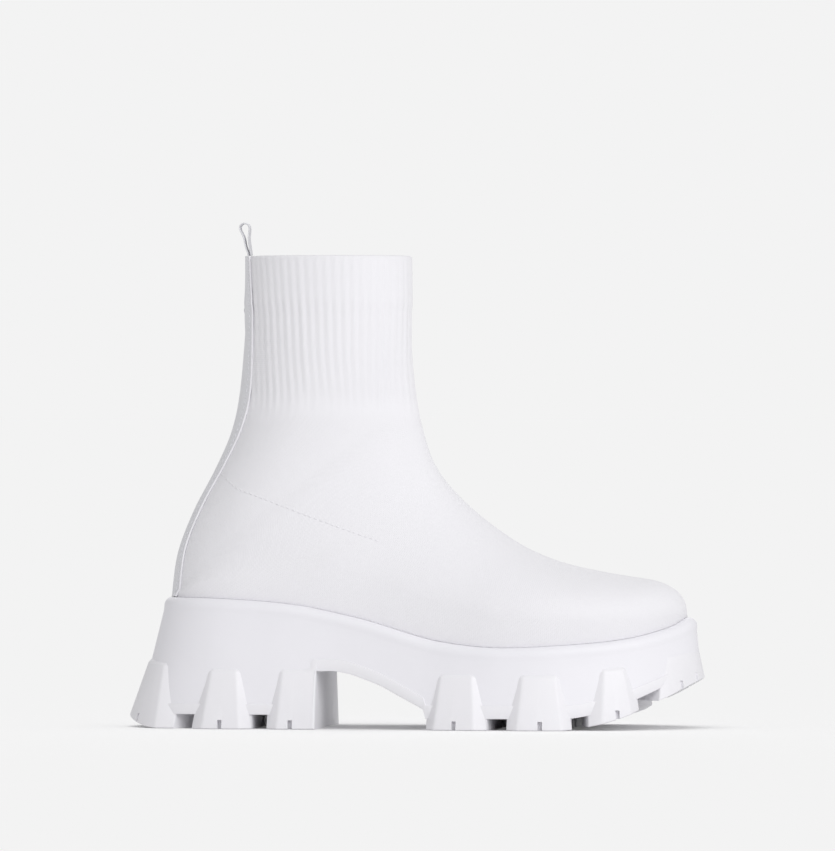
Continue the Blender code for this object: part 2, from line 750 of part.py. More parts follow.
def end_steepness(row, side, length):
    """How steeply the lower arc runs in at its end, so that the wall stands up from the feather."""
    ridge, end, ends = section_frame(row)
    if row["turn"] <= 0.0:
        return 1e6
    run = (end - ridge).normalized()
    normal = edge_normal(row["turn"], side)
    inward = (normal.x * run.x - WALL_LEAN * run.y) / max(0.02, abs(normal.y))
    return max(1.1, inward * length / max(row["bulge"], LEAST_BULGE))


def arc_weights(bend, full):
    """Weights of a rounded corner's start, corner and end."""
    return (1 - bend) ** 2, 2 * full * bend * (1 - bend), bend**2


def section_point(row, side, bend, lower):
    """A point of a section. bend runs 0 to 1, over the upper arc from ridge to widest, or over the
    lower arc from widest to end."""
    ridge, end, ends = section_frame(row)
    half = ends[side] + row["bulge"]
    angle = math.radians(90) * bend
    if lower:
        length = (1 - row["widest"]) * (end - ridge).length
        corner = 1 - 1 / end_steepness(row, side, length)
        weights = arc_weights(bend, row["full"])
        total = sum(weights)
        share = row["widest"] + (1 - row["widest"]) * (weights[1] * corner + weights[2]) / total
        y = side * (ends[side] + row["bulge"] * (weights[0] + weights[1]) / total)
    else:
        share = row["widest"] * (1 - math.cos(angle) ** row["square"])
        centre = row["ridge_y"]
        y = centre + (side * half - centre) * math.sin(angle) ** row["square"]
    place = ridge + (end - ridge) * share
    return Vector((place.x, y, place.y))


def section_points(row):
    """The whole section, lateral end to ridge to medial end."""
    lateral = [section_point(row, LATERAL, k / UPPER_ARC, False) for k in range(UPPER_ARC + 1)]
    lateral += [section_point(row, LATERAL, k / LOWER_ARC, True) for k in range(1, LOWER_ARC + 1)]
    medial = [section_point(row, MEDIAL, k / UPPER_ARC, False) for k in range(UPPER_ARC + 1)]
    medial += [section_point(row, MEDIAL, k / LOWER_ARC, True) for k in range(1, LOWER_ARC + 1)]
    return push_out(lateral[::-1] + medial[1:], row["proud"])


def push_out(points, proud):
    """Moves a closed section's points straight out from its middle."""
    if not proud:
        return points
    middle = sum(points, Vector((0, 0, 0))) / len(points)
    pushed = []
    for point in points:
        away = Vector((point.x - middle.x, point.y - middle.y, 0.0))
        pushed.append(point + away.normalized() * proud)
    return pushed


def thicken(mesh, thickness):
    """Turns an open shell into a wall by adding an inner face. Its rims stay level."""
    form = bmesh.new()
    form.from_mesh(mesh)
    form.normal_update()
    rim_edges = [edge for edge in form.edges if edge.is_boundary]
    rim = {vert for edge in rim_edges for vert in edge.verts}
    outer_faces = list(form.faces)
    inner = {}
    for vert in list(form.verts):
        normal = vert.normal.copy()
        if vert in rim:
            normal.z = 0.0
            normal.normalize()
        inner[vert] = form.verts.new(vert.co - normal * thickness)
    for edge in rim_edges:
        first, last = edge.verts
        form.faces.new([first, last, inner[last], inner[first]])
    for face in outer_faces:
        form.faces.new([inner[vert] for vert in reversed(face.verts)])
    bmesh.ops.recalc_face_normals(form, faces=form.faces)
    form.to_mesh(mesh)
    form.free()


def make_upper(collection, material):
    """One open knitted shell from toe to collar, open at the collar and underneath."""
    spread, _heel = spread_sections()
    grid = [section_points(row) for _at, row in spread]
    count = len(grid[0])
    points = [point for row in grid for point in row]
    faces = []
    for r in range(len(grid) - 1):
        for k in range(count - 1):
            a = r * count + k
            faces.append([a, a + 1, a + count + 1, a + count])
    upper = mesh_object("upper", points, faces, collection, material)
    thicken(upper.data, KNIT_WALL)
    upper.data.shade_smooth()
    return upper


def make_midsole(collection, material):
    return swept_solid("midsole", midsole_stations(0.0), collection, material)


def make_outsole(collection, cutters, material):
    """Tread, waist and side lugs in one, hollowed by the midsole that sits in it."""
    outsole = swept_solid("outsole", outsole_stations(), collection, material)
    seat = hide(swept_solid("seat cutter", midsole_stations(CLEARANCE), cutters))
    cut(outsole, seat)
    cut(outsole, box_mesh("sipe cutter", cutters, sipe_boxes()))
    cut(outsole, box_mesh("groove cutter", cutters, groove_boxes()))
    return outsole


def make_insole(collection, material):
    """The footbed, lying on the midsole inside the upper."""
    stations = {LATERAL: [], MEDIAL: []}
    edge = -(KNIT_WALL * 1.25 + CLEARANCE)
    inner = -INSOLE_CORE
    for k in range(SOLE_STATIONS + 1):
        turn = math.pi * k / SOLE_STATIONS
        floor = feather_height(along_of(turn))
        for side in (LATERAL, MEDIAL):
            normal = edge_normal(turn, side)
            inset = edge - KNIT_WALL * max(1.2 * normal.x, -0.45 * normal.x)
            offsets = [inner, inset, inset, inner]
            top = floor + INSOLE_THICKNESS
            heights = [top, top, floor, floor]
            stations[side].append(station_points([turn] * 4, side, offsets, heights))
    return swept_solid("insole", stations, collection, material)


def turn_at_breadth(half, side):
    """Where round the back of the heel the feather edge is this far from the middle."""
    low, high = 0.0, turn_of(0.1)
    for _ in range(30):
        turn = (low + high) / 2
        if breadth(turn, side) < half:
            low = turn
        else:
            high = turn
    return (low + high) / 2


def arc_bend(share, full):
    """Where on a lower arc the breadth is a share of the bulge."""
    low, high = 0.0, 1.0
    for _ in range(30):
        bend = (low + high) / 2
        weights = arc_weights(bend, full)
        if (weights[0] + weights[1]) / sum(weights) > share:
            low = bend
        else:
            high = bend
    return (low + high) / 2


def tape_rows(spread, heel):
    """Cross rows of the heel tape's inner face, from the sole to the collar."""
    knots = [row[0] for row in TAPE]
    shares = [row[1] for row in TAPE]
    rows = []
    loop_foot = COLLAR_HEIGHT - LOOP_LEG
    shaft = [entry for entry in spread if entry[0] >= heel]
    for (at, row), (_next_at, above) in zip(shaft, shaft[1:] + shaft[-1:]):
        half = curve_value(knots, shares, at - heel) * TAPE_WIDTH
        across = []
        for part in TAPE_PARTS:
            side = LATERAL if part < 0 else MEDIAL
            bend = arc_bend(abs(part) * half / row["bulge"], row["full"])
            point = section_point(row, side, bend, True)
            ahead = section_point(row, side, max(bend - 0.01, 0.0), True)
            slope = ahead - point
            out = Vector((-abs(slope.y), side * slope.x, 0.0)) if part else Vector((-1.0, 0.0, 0.0))
            gap = CLEARANCE + TAPE_EASE + row["proud"]
            if above["end_z"] > loop_foot:
                gap += LOOP_THICKNESS + CLEARANCE
            across.append(point + out.normalized() * gap)
        rows.append(across)
    return rows


def make_heel_tape(collection, material):
    """The narrow strip over the back seam, from the sole to the collar."""
    spread, heel = spread_sections()
    rows = tape_rows(spread, heel)
    foot = []
    for place in rows[0]:
        side = LATERAL if place.y < 0 else MEDIAL
        turn = turn_at_breadth(abs(place.y), side)
        plan = outline_at(turn, side, CLEARANCE * 2)
        foot.append(Vector((plan.x, plan.y, feather_height(along_of(turn)) + CLEARANCE)))
    rows.insert(0, foot)
    count = len(rows[0])
    points = [point for row in rows for point in row]
    faces = []
    for r in range(len(rows) - 1):
        for k in range(count - 1):
            a = r * count + k
            faces.append([a, a + 1, a + count + 1, a + count])
    tape = mesh_object("heel_tape", points, faces, collection, material)
    facing = sum((face.normal.x for face in tape.data.polygons))
    wall = tape.modifiers.new("tape thickness", "SOLIDIFY")
    wall.thickness = TAPE_THICKNESS
    wall.offset = 1.0 if facing < 0 else -1.0
    return tape


def leg_line():
    """Middle line of the loop's leg, which follows the upper's back line over the cuff."""
    spread, heel = spread_sections()
    rows = [row for at, row in spread if at >= heel]
    foot = COLLAR_HEIGHT - LOOP_LEG
    out = CLEARANCE + LOOP_EASE + LOOP_THICKNESS / 2
    line = []
    for low, high in zip(rows, rows[1:]):
        if high["end_z"] <= foot:
            continue
        ends = [Vector((row["end_x"] - row["proud"] - out, row["end_z"])) for row in (low, high)]
        if not line:
            share = (foot - low["end_z"]) / (high["end_z"] - low["end_z"])
            line.append(ends[0].lerp(ends[1], share))
        line.append(ends[1])
    return line


def loop_path():
    """Middle line of the folded loop in the mid plane, from its sewn-in foot over the top and back."""
    path = leg_line()
    back = path[-1].x
    base, top = COLLAR_HEIGHT, COLLAR_HEIGHT + LOOP_HEIGHT
    radius = LOOP_OPENING / 2
    centre = Vector((back - LOOP_LEAN, top - radius - LOOP_THICKNESS / 2))
    path.append(Vector((back - LOOP_LEAN * 0.75, base + LOOP_HEIGHT * 0.28)))
    path.append(Vector((back - LOOP_LEAN * 1.25, base + LOOP_HEIGHT * 0.56)))
    for k in range(7):
        bend = math.radians(195 - 32 * k)
        path.append(centre + Vector((math.cos(bend), math.sin(bend))) * radius)
    path.append(Vector((back + LOOP_LEAN * 0.05, base + LOOP_HEIGHT * 0.52)))
    path.append(Vector((back + LOOP_LEAN * 0.30, base + LOOP_HEIGHT * 0.26)))
    path.append(Vector((back + LOOP_THICKNESS + CLEARANCE, base + CLEARANCE + LOOP_EASE)))
    return path


def make_pull_loop(collection, material):
    """A narrow tape folded into a loop that stands over the collar's back."""
    points, faces = [], []
    path = loop_path()
    across = (-1.0, -0.5, 0.0, 0.5, 1.0)
    for place in path:
        above = min(1.0, max(0.0, (place.y - COLLAR_HEIGHT) / LOOP_HEIGHT))
        for part in across:
            y = part * LOOP_WIDTH / 2
            points.append(Vector((place.x + y**2 / (2 * BACK_RADIUS) * (1 - 0.7 * above), y, place.y)))
    for k in range(len(path) - 1):
        for j in range(len(across) - 1):
            a = k * len(across) + j
            faces.append([a, a + 1, a + len(across) + 1, a + len(across)])
    loop = mesh_object("pull_loop", points, faces, collection, material)
    wall = loop.modifiers.new("tape thickness", "SOLIDIFY")
    wall.thickness = LOOP_THICKNESS
    wall.offset = 0.0
    wall.use_even_offset = True
    return loop


def centre_on_floor(parts, cutters):
    """Moves every mesh so that the boot's box is centred on the origin and stands on the floor."""
    graph = bpy.context.evaluated_depsgraph_get()
    low, high = Vector((1e9,) * 3), Vector((-1e9,) * 3)
    for obj in parts.objects:
        mesh = obj.evaluated_get(graph).to_mesh()
        for vert in mesh.vertices:
            low = Vector(map(min, low, vert.co))
            high = Vector(map(max, high, vert.co))
        obj.evaluated_get(graph).to_mesh_clear()
    shift = Vector((-(low.x + high.x) / 2, -(low.y + high.y) / 2, -low.z))
    for obj in list(parts.objects) + list(cutters.objects):
        for vert in obj.data.vertices:
            vert.co += shift


def main():
    clear_scene()
    parts = bpy.data.collections.new("sock boot")
    cutters = bpy.data.collections.new("cutters")
    for collection in (parts, cutters):
        bpy.context.scene.collection.children.link(collection)
    knit = new_material("knit", WHITE_KNIT, 0.85)
    foam = new_material("foam", WHITE_FOAM, 0.6)
    rubber = new_material("rubber", WHITE_RUBBER, 0.55)
    tape = new_material("tape", WHITE_TAPE, 0.7)
    make_outsole(parts, cutters, rubber)
    make_midsole(parts, foam)
    make_insole(parts, knit)
    make_upper(parts, knit)
    make_heel_tape(parts, tape)
    make_pull_loop(parts, tape)
    bpy.context.view_layer.update()
    centre_on_floor(parts, cutters)


main()
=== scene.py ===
"""Looks of a white sock boot: ribbed knit, woven tape, stitches and a moulded cleated sole."""

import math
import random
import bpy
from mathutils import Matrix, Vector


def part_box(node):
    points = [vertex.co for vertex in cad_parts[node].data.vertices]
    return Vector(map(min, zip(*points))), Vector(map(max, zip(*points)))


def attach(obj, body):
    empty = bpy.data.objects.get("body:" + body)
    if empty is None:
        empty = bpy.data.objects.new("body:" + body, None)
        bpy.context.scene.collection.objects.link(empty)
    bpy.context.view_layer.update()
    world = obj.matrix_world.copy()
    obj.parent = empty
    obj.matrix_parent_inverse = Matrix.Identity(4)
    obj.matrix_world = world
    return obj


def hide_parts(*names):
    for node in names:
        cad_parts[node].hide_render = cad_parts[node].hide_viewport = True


bl_info = {
    "name": "Sock boot",
    "version": (1, 0, 0),
    "blender": (4, 5, 0),
    "location": "View3D > Sidebar > Sock boot",
    "description": "Builds the knitted upper, back tape, footbed and moulded sole of a sock boot",
    "category": "Object",
}

import bmesh
import bpy
from bpy.props import FloatProperty, FloatVectorProperty, IntProperty, PointerProperty
from mathutils import Vector
from mathutils.bvhtree import BVHTree

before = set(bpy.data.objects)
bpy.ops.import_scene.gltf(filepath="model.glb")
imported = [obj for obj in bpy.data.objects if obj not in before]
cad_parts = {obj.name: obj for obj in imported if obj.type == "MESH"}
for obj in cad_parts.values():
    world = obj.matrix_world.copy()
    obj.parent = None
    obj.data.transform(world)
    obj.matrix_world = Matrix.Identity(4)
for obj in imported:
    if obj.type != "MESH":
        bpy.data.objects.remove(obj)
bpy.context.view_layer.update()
MM = 0.001
BODY = "root"
THREAD = "spun polyester thread"

# Sizes of the last and of the upper, as in the CAD part
LAST_LENGTH = 259.9 * MM
BALL_WIDTH = 94.0 * MM
PLATFORM_HEIGHT = 41.2 * MM
HEEL_DROP = 24.6 * MM
TOE_LIFT = 14.6 * MM
ANKLE_HEIGHT = 166.5 * MM
COLLAR_HEIGHT = 238.0 * MM
KNIT_WALL = 2.0 * MM
CUFF_STEP = 0.55 * MM
WALL_LEAN = 0.25

# The ribs of the cuff: how deep their valleys lie, how sharp and how uneven they are
RIB_SINK = 0.3
RIB_SHARPNESS = 0.7
RIB_STRENGTHS = (0.65, 1.15)
RIB_WANDER = 4.0 * MM
RIB_SIDES = 40

# Sizes of the sole
RIM_WIDTH = 5.0 * MM
RIM_RADIUS = 4.4 * MM
NECK_DEPTH = 0.4 * MM
NECK_DROP = 2.6 * MM
SIDE_FLARE = 0.08
BACK_FLARE = 0.25
TOE_FLARE = 0.10
TREAD_THICKNESS = 12.4 * MM
ARCH_HEIGHT = 29.0 * MM
ARCH_THICKNESS = 6.0 * MM
BREAST_THICKNESS = 1.5 * MM
TOE_SPRING = 25.0 * MM
TOE_SPRING_LENGTH = 66.0 * MM
HEEL_BEVEL = 5.0 * MM
HEEL_BEVEL_LENGTH = 18.5 * MM
LEDGE = 0.7 * MM
TUCK = 4.0 * MM
ROOT_DEPTH = 1.2 * MM
STEP_SETBACK = 0.5 * MM
STEP_RAMP = 3.6 * MM
STEP_GAP = 0.25 * MM
CHANNEL_DEPTH = 7.2 * MM
FORE_CHANNEL = 0.8
WAIST_BLEND = 0.004
GROOVES = ((0.10, 0.27), (0.60, 0.86))
GROOVE_WIDTH = 9.0 * MM
GROOVE_DEPTH = 5.0 * MM
SIPE_WIDTH = 2.2 * MM
SIPE_DEPTH = 4.6 * MM
SIPE_LENGTH = 5.0 * MM
SIPE_OVERRUN = 1.5 * MM
MIDSOLE_CORE = 8.0 * MM
OUTSOLE_CORE = 10.0 * MM
INSOLE_CORE = 12.0 * MM

# Sizes of the side lugs
LUG_HEIGHT = 29.5 * MM
LUG_STAND_TOP = 1.5 * MM
LUG_STAND_FOOT = 4.2 * MM
LUG_BEVEL = 2.4 * MM
LUG_INSET_FOOT = 5.2 * MM
LUG_INSET_TOP = 7.4 * MM
LUG_INSET_ROOT = 4.7 * MM

# Sizes of the small pieces
INSOLE_THICKNESS = 3.0 * MM
TAPE_THICKNESS = 0.9 * MM
TAPE_WIDTH = 30.0 * MM
TAPE_EASE = 0.15 * MM
TAPE_TUCK = 0.15
LOOP_WIDTH = 8.0 * MM
LOOP_THICKNESS = 0.8 * MM
LOOP_HEIGHT = 17.0 * MM
LOOP_OPENING = 4.9 * MM
LOOP_LEG = 25.0 * MM
LOOP_LEAN = 2.0 * MM
LOOP_EASE = 0.1 * MM
EDGE_RADIUS = 0.55 * MM
BACK_RADIUS = 22.0 * MM
CLEARANCE = 0.3 * MM
LEAST_BULGE = 0.1 * MM

# Plan of the feather edge: breadths either side of the last's axis as shares of BALL_WIDTH
OUTLINE = [
    # along   lateral  medial
    (0.0000,  0.000,   0.000),
    (0.0245,  0.200,   0.200),
    (0.0955,  0.317,   0.315),
    (0.2060,  0.351,   0.340),
    (0.3450,  0.370,   0.321),
    (0.5000,  0.426,   0.335),
    (0.6000,  0.482,   0.394),
    (0.6545,  0.503,   0.436),
    (0.7300,  0.503,   0.482),
    (0.7940,  0.473,   0.489),
    (0.8500,  0.425,   0.466),
    (0.9050,  0.344,   0.409),
    (0.9500,  0.240,   0.325),
    (0.9755,  0.152,   0.250),
    (0.9900,  0.077,   0.186),
    (1.0000, -0.053,   0.053),
]

# Height of the feather edge: shares of HEEL_DROP and of TOE_LIFT over the platform
FEATHER = [
    # along  drop    lift
    (0.000,  1.000,  0.00),
    (0.093,  0.988,  0.00),
    (0.190,  0.930,  0.00),
    (0.268,  0.838,  0.00),
    (0.326,  0.715,  0.00),
    (0.384,  0.575,  0.00),
    (0.423,  0.460,  0.00),
    (0.462,  0.332,  0.00),
    (0.501,  0.212,  0.00),
    (0.540,  0.120,  0.00),
    (0.617,  0.020,  0.00),
    (0.680,  0.000,  0.01),
    (0.773,  0.000,  0.09),
    (0.851,  0.000,  0.20),
    (0.905,  0.000,  0.34),
    (0.952,  0.000,  0.56),
    (0.980,  0.000,  0.75),
    (1.000,  0.000,  1.00),
]

# Lower edge of the waist, as shares of its span and of ARCH_HEIGHT
ARCH = [
    # span   height
    (0.00,   1.00),
    (0.18,   1.00),
    (0.32,   0.95),
    (0.47,   0.85),
    (0.61,   0.745),
    (0.74,   0.61),
    (0.88,   0.47),
    (1.00,   0.35),
]

# Side lugs: start and end along the last, top as a share of LUG_HEIGHT, how far each stands out
LUGS = [
    # name         start   end     top    stand  sipes
    ("heel_back",  0.000,  0.047,  1.03,  1.00,  1),
    ("heel_mid",   0.073,  0.173,  1.00,  1.00,  1),
    ("heel_front", 0.204,  0.2985, 1.00,  1.00,  1),
    ("fore_rear",  0.520,  0.637,  0.93,  1.00,  1),
    ("fore_mid",   0.673,  0.790,  0.93,  1.00,  1),
    ("fore_front", 0.820,  0.905,  0.86,  1.00,  1),
    ("toe",        0.938,  1.000,  0.56,  0.40,  2),
]
BREAST = 0.2985
FOREFOOT = 0.513

# Sections of the upper, from the toe to the collar, with the same columns as in the CAD part
TIP_RISE = TOE_LIFT / (ANKLE_HEIGHT - PLATFORM_HEIGHT)
FOOT_SECTIONS = [
    # ridge_x  rise      round   ridge_y  bulge   widest  square
    (1.0000,   TIP_RISE, 1.000,  0.053,   0.000,  0.70,   0.90),
    (0.9945,   0.180,    0.958,  0.053,   0.016,  0.70,   0.90),
    (0.9760,   0.228,    0.912,  0.053,   0.024,  0.68,   0.90),
    (0.9400,   0.262,    0.855,  0.055,   0.028,  0.66,   0.92),
    (0.8850,   0.281,    0.790,  0.058,   0.028,  0.65,   0.95),
    (0.8200,   0.305,    0.720,  0.062,   0.026,  0.65,   0.98),
    (0.7510,   0.340,    0.650,  0.062,   0.024,  0.66,   1.02),
    (0.6860,   0.397,    0.580,  0.058,   0.022,  0.68,   1.06),
    (0.6290,   0.474,    0.515,  0.050,   0.022,  0.69,   1.10),
    (0.5830,   0.550,    0.450,  0.040,   0.022,  0.70,   1.12),
    (0.5460,   0.626,    0.390,  0.030,   0.022,  0.70,   1.12),
    (0.5175,   0.702,    0.320,  0.020,   0.024,  0.70,   1.10),
    (0.4975,   0.786,    0.250,  0.012,   0.030,  0.68,   1.08),
    (0.4845,   0.868,    0.170,  0.006,   0.077,  0.65,   1.06),
    (0.4780,   0.938,    0.085,  0.002,   0.186,  0.62,   1.04),
    (0.4740,   1.000,    0.000,  0.000,   0.350,  0.59,   1.03),
]
SHAFT_SECTIONS = [
    # ridge_x  shaft   end_x    rise    end_shaft  bulge   widest  square  full
    (0.4705,   0.085,  0.0115,  0.215,  0.000,     0.346,  0.57,   1.02,   0.70),
    (0.4680,   0.175,  0.0430,  0.430,  0.000,     0.338,  0.55,   1.01,   0.68),
    (0.4655,   0.270,  0.0855,  0.640,  0.000,     0.331,  0.535,  0.99,   0.65),
    (0.4643,   0.370,  0.1180,  0.835,  0.000,     0.328,  0.52,   0.98,   0.63),
    (0.4643,   0.480,  0.1350,  1.000,  0.075,     0.329,  0.505,  0.97,   0.63),
    (0.4638,   0.617,  0.1473,  1.000,  0.617,     0.333,  0.50,   0.96,   0.66),
]
COLLAR_SECTIONS = [
    # ridge_x  shaft   end_x    bulge   widest  square  full
    (0.4633,   0.800,  0.1503,  0.333,  0.50,   0.96,   0.68),
    (0.4630,   1.000,  0.1507,  0.335,  0.50,   0.96,   0.70),
]

# Half width of the heel tape, as shares of TAPE_WIDTH against the upper's shaft sections
TAPE = [
    # section  half
    (0,        0.46),
    (1,        0.44),
    (2,        0.46),
    (4,        0.50),
    (5,        0.50),
    (6,        0.40),
    (8,        0.24),
]

# The counter's seam on the quarter, from the tape forwards: along the last, and height
COUNTER_SEAM = [
    # along   height
    (0.112,   125.5 * MM),
    (0.137,   120.6 * MM),
    (0.171,   117.4 * MM),
    (0.260,   108.6 * MM),
    (0.339,   101.0 * MM),
    (0.418,   93.9 * MM),
]

# How finely the pieces are built
WELD = 0.02 * MM
UPPER_ROWS_BETWEEN = 4
UPPER_COLUMNS = 384
ARC_SAMPLES = 48
TAPE_ROWS_BETWEEN = 5
TAPE_COLUMNS = 16
LOOP_ROWS = 90
SOLE_STATIONS = 180
BEAD_STEPS = 8
RIM_STEPS = 4
LATERAL, MEDIAL = -1, 1
QUARTER = math.radians(90)


def linear(hex_colour):
    """Linear RGB from an sRGB hex value."""
    channels = []
    for k in (1, 3, 5):
        share = int(hex_colour[k:k + 2], 16) / 255
        channels.append(share / 12.92 if share <= 0.04045 else ((share + 0.055) / 1.055) ** 2.4)
    return channels


def curve_value(knots, values, at):
    """A smooth curve through (knot, value) pairs: cubic pieces with slopes from their neighbours."""
    last = len(knots) - 1
    if at <= knots[0]:
        return values[0]
    if at >= knots[last]:
        return values[last]
    i = 0
    while at > knots[i + 1]:
        i += 1

    def slope(j):
        low, high = max(j - 1, 0), min(j + 1, last)
        return (values[high] - values[low]) / (knots[high] - knots[low])

    step = knots[i + 1] - knots[i]
    t = (at - knots[i]) / step
    return (
        (2 * t**3 - 3 * t**2 + 1) * values[i]
        + (t**3 - 2 * t**2 + t) * step * slope(i)
        + (-2 * t**3 + 3 * t**2) * values[i + 1]
        + (t**3 - t**2) * step * slope(i + 1)
    )


def smooth_step(low, high, value):
    """0 below low and 1 above high, with a soft change between."""
    t = min(1.0, max(0.0, (value - low) / (high - low)))
    return t * t * (3 - 2 * t)


def reach_along(points):
    """The distance of each point from the first, along the line."""
    reach = [0.0]
    for first, second in zip(points, points[1:]):
        reach.append(reach[-1] + (second - first).length)
    return reach


def tangent_at(line, k):
    """The direction of a line of points at one of them."""
    return (line[min(k + 1, len(line) - 1)] - line[max(k - 1, 0)]).normalized()


# The last

def turn_of(along):
    """The turn, 0 at the heel to pi at the toe, whose cosine gives a place along the last."""
    return math.acos(1 - 2 * min(max(along, 0.0), 1.0))


def along_of(turn):
    return (1 - math.cos(turn)) / 2


OUTLINE_TURNS = [turn_of(row[0]) for row in OUTLINE]
OUTLINE_SHARES = {LATERAL: [row[1] for row in OUTLINE], MEDIAL: [row[2] for row in OUTLINE]}
FEATHER_KNOTS, FEATHER_DROPS, FEATHER_LIFTS = [list(column) for column in zip(*FEATHER)]
ARCH_KNOTS, ARCH_SHARES = [list(column) for column in zip(*ARCH)]


def breadth(turn, side):
    """Half breadth of the feather edge on one side."""
    return curve_value(OUTLINE_TURNS, OUTLINE_SHARES[side], turn) * BALL_WIDTH


def feather_height(along):
    drop = curve_value(FEATHER_KNOTS, FEATHER_DROPS, along)
    lift = curve_value(FEATHER_KNOTS, FEATHER_LIFTS, along)
    return PLATFORM_HEIGHT + HEEL_DROP * drop + TOE_LIFT * lift


def edge_point(turn, side):
    """Plan point of the feather edge. The heel's back is at x = 0 here."""
    return Vector((along_of(turn) * LAST_LENGTH, side * breadth(turn, side)))


def edge_normal(turn, side):
    """Outward direction of the feather edge in plan."""
    if turn < 1e-6:
        return Vector((-1.0, 0.0))
    if turn > math.pi - 1e-6:
        return Vector((1.0, 0.0))
    small = 0.002
    before = edge_point(max(turn - small, 0.0), side)
    after = edge_point(min(turn + small, math.pi), side)
    tangent = (after - before).normalized()
    return Vector((-side * tangent.y, side * tangent.x))


def outline_at(turn, side, offset):
    """Plan point that stands off the feather edge by offset."""
    return edge_point(turn, side) + edge_normal(turn, side) * offset


def placed(side, rows):
    """Points of a station from rows of turn, offset and height."""
    points = []
    for turn, offset, height in rows:
        plan = outline_at(turn, side, offset)
        points.append(Vector((plan.x, plan.y, height)))
    return points


def wall_offset(turn, side, height):
    """How far the sole's side wall stands off the feather edge at a height over the floor."""
    normal = edge_normal(turn, side)
    flare = (
        SIDE_FLARE
        + (BACK_FLARE - SIDE_FLARE) * max(0.0, -normal.x) ** 1.5
        + (TOE_FLARE - SIDE_FLARE) * max(0.0, normal.x) ** 1.5
    )
    below = max(0.0, feather_height(along_of(turn)) - height - RIM_RADIUS)
    neck = NECK_DEPTH * min(1.0, below / NECK_DROP)
    return RIM_WIDTH - neck + flare * below


def tread_lift(x):
    """Height of the tread's lower face over the floor: toe spring and heel bevel."""
    toe_start = LAST_LENGTH + RIM_WIDTH + LUG_STAND_FOOT - TOE_SPRING_LENGTH
    heel_start = HEEL_BEVEL_LENGTH - RIM_WIDTH - 4 * LUG_STAND_FOOT
    if x > toe_start:
        return TOE_SPRING * ((x - toe_start) / TOE_SPRING_LENGTH) ** 1.6
    if x < heel_start:
        return HEEL_BEVEL * ((heel_start - x) / HEEL_BEVEL_LENGTH) ** 2
    return 0.0


def arch_height(along):
    """Height of the waist's lower edge."""
    span = (along - BREAST) / (FOREFOOT - BREAST)
    return curve_value(ARCH_KNOTS, ARCH_SHARES, span) * ARCH_HEIGHT


BLOCK_FRONT = BREAST - BREAST_THICKNESS / LAST_LENGTH
STEP_UP = BLOCK_FRONT - STEP_SETBACK / LAST_LENGTH


def tread_line(turn, side):
    """Height where the midsole sits on the outsole."""
    along = along_of(turn)
    if STEP_UP <= along <= FOREFOOT:
        return arch_height(max(along, BREAST)) + ARCH_THICKNESS
    return tread_lift(outline_at(turn, side, RIM_WIDTH).x) + TREAD_THICKNESS


def shift_turn(turn, distance):
    """The turn reached by going a distance along the lateral edge, towards the toe if positive."""
    steps = 24
    for _ in range(steps):
        near = edge_point(min(max(turn, 0.01), math.pi - 0.01) - 0.005, LATERAL)
        far = edge_point(min(max(turn, 0.01), math.pi - 0.01) + 0.005, LATERAL)
        turn += distance / steps / ((far - near).length / 0.01)
    return turn


def footbed_stations(count):
    """The footbed's rows round the foot: flat under the foot, thin at a rolled edge."""
    stations = {LATERAL: [], MEDIAL: []}
    edge = -(KNIT_WALL * 1.25 + CLEARANCE)
    for k in range(count + 1):
        turn = math.pi * k / count
        floor = feather_height(along_of(turn))
        for side in (LATERAL, MEDIAL):
            normal = edge_normal(turn, side)
            inset = edge - KNIT_WALL * max(1.2 * normal.x, -0.45 * normal.x)
            roll = INSOLE_THICKNESS / 2
            face = floor + INSOLE_THICKNESS
            rows = [(turn, -INSOLE_CORE, face), (turn, inset - roll * 2, face)]
            for step in range(1, BEAD_STEPS):
                bend = math.pi * step / BEAD_STEPS
                rows.append((turn, inset - roll + roll * math.sin(bend),
                             floor + roll + roll * math.cos(bend)))
            rows += [(turn, inset - roll, floor), (turn, -INSOLE_CORE, floor)]
            stations[side].append(placed(side, rows))
    return stations


def last_place():
    """Where the CAD part has the last's heel point: its insole's corner against the same form here."""
    low, _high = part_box("insole")
    stations = footbed_stations(SOLE_STATIONS)
    points = [point for side in stations for rows in stations[side] for point in rows]
    return Vector((low[0] - min(p.x for p in points), low[1] - min(p.y for p in points), 0.0))


PLACE = last_place()
BOOT = bpy.data.collections.new("sock boot")
bpy.context.scene.collection.children.link(BOOT)


# Meshes

def form_from(mesh):
    """A form made from a mesh, which is removed."""
    form = bmesh.new()
    form.from_mesh(mesh)
    bpy.data.meshes.remove(mesh)
    return form


def object_of(form, name, material=None, collection=BOOT):
    """An object made from a form, which is freed."""
    mesh = bpy.data.meshes.new(name)
    form.to_mesh(mesh)
    form.free()
    if material:
        mesh.materials.append(material)
    made = bpy.data.objects.new(name, mesh)
    collection.objects.link(made)
    return made


def mesh_piece(name, points, faces, material, smooth_angle=None, weld=WELD):
    """A mesh object in the boot's place, with faces pointing out and edges sharp over an angle."""
    mesh = bpy.data.meshes.new(name)
    mesh.from_pydata([tuple(p + PLACE) for p in points], [], faces)
    form = form_from(mesh)
    if weld:
        bmesh.ops.remove_doubles(form, verts=form.verts, dist=weld)
        bmesh.ops.dissolve_degenerate(form, edges=form.edges, dist=weld / 10)
    bmesh.ops.recalc_face_normals(form, faces=form.faces)
    finish_shading(form, smooth_angle)
    return object_of(form, name, material)


def finish_shading(form, smooth_angle):
    """Smooth faces, with the edges sharper than an angle kept sharp."""
    for face in form.faces:
        face.smooth = True
    for edge in form.edges:
        if smooth_angle and len(edge.link_faces) == 2:
            edge.smooth = edge.calc_face_angle(0.0) < smooth_angle


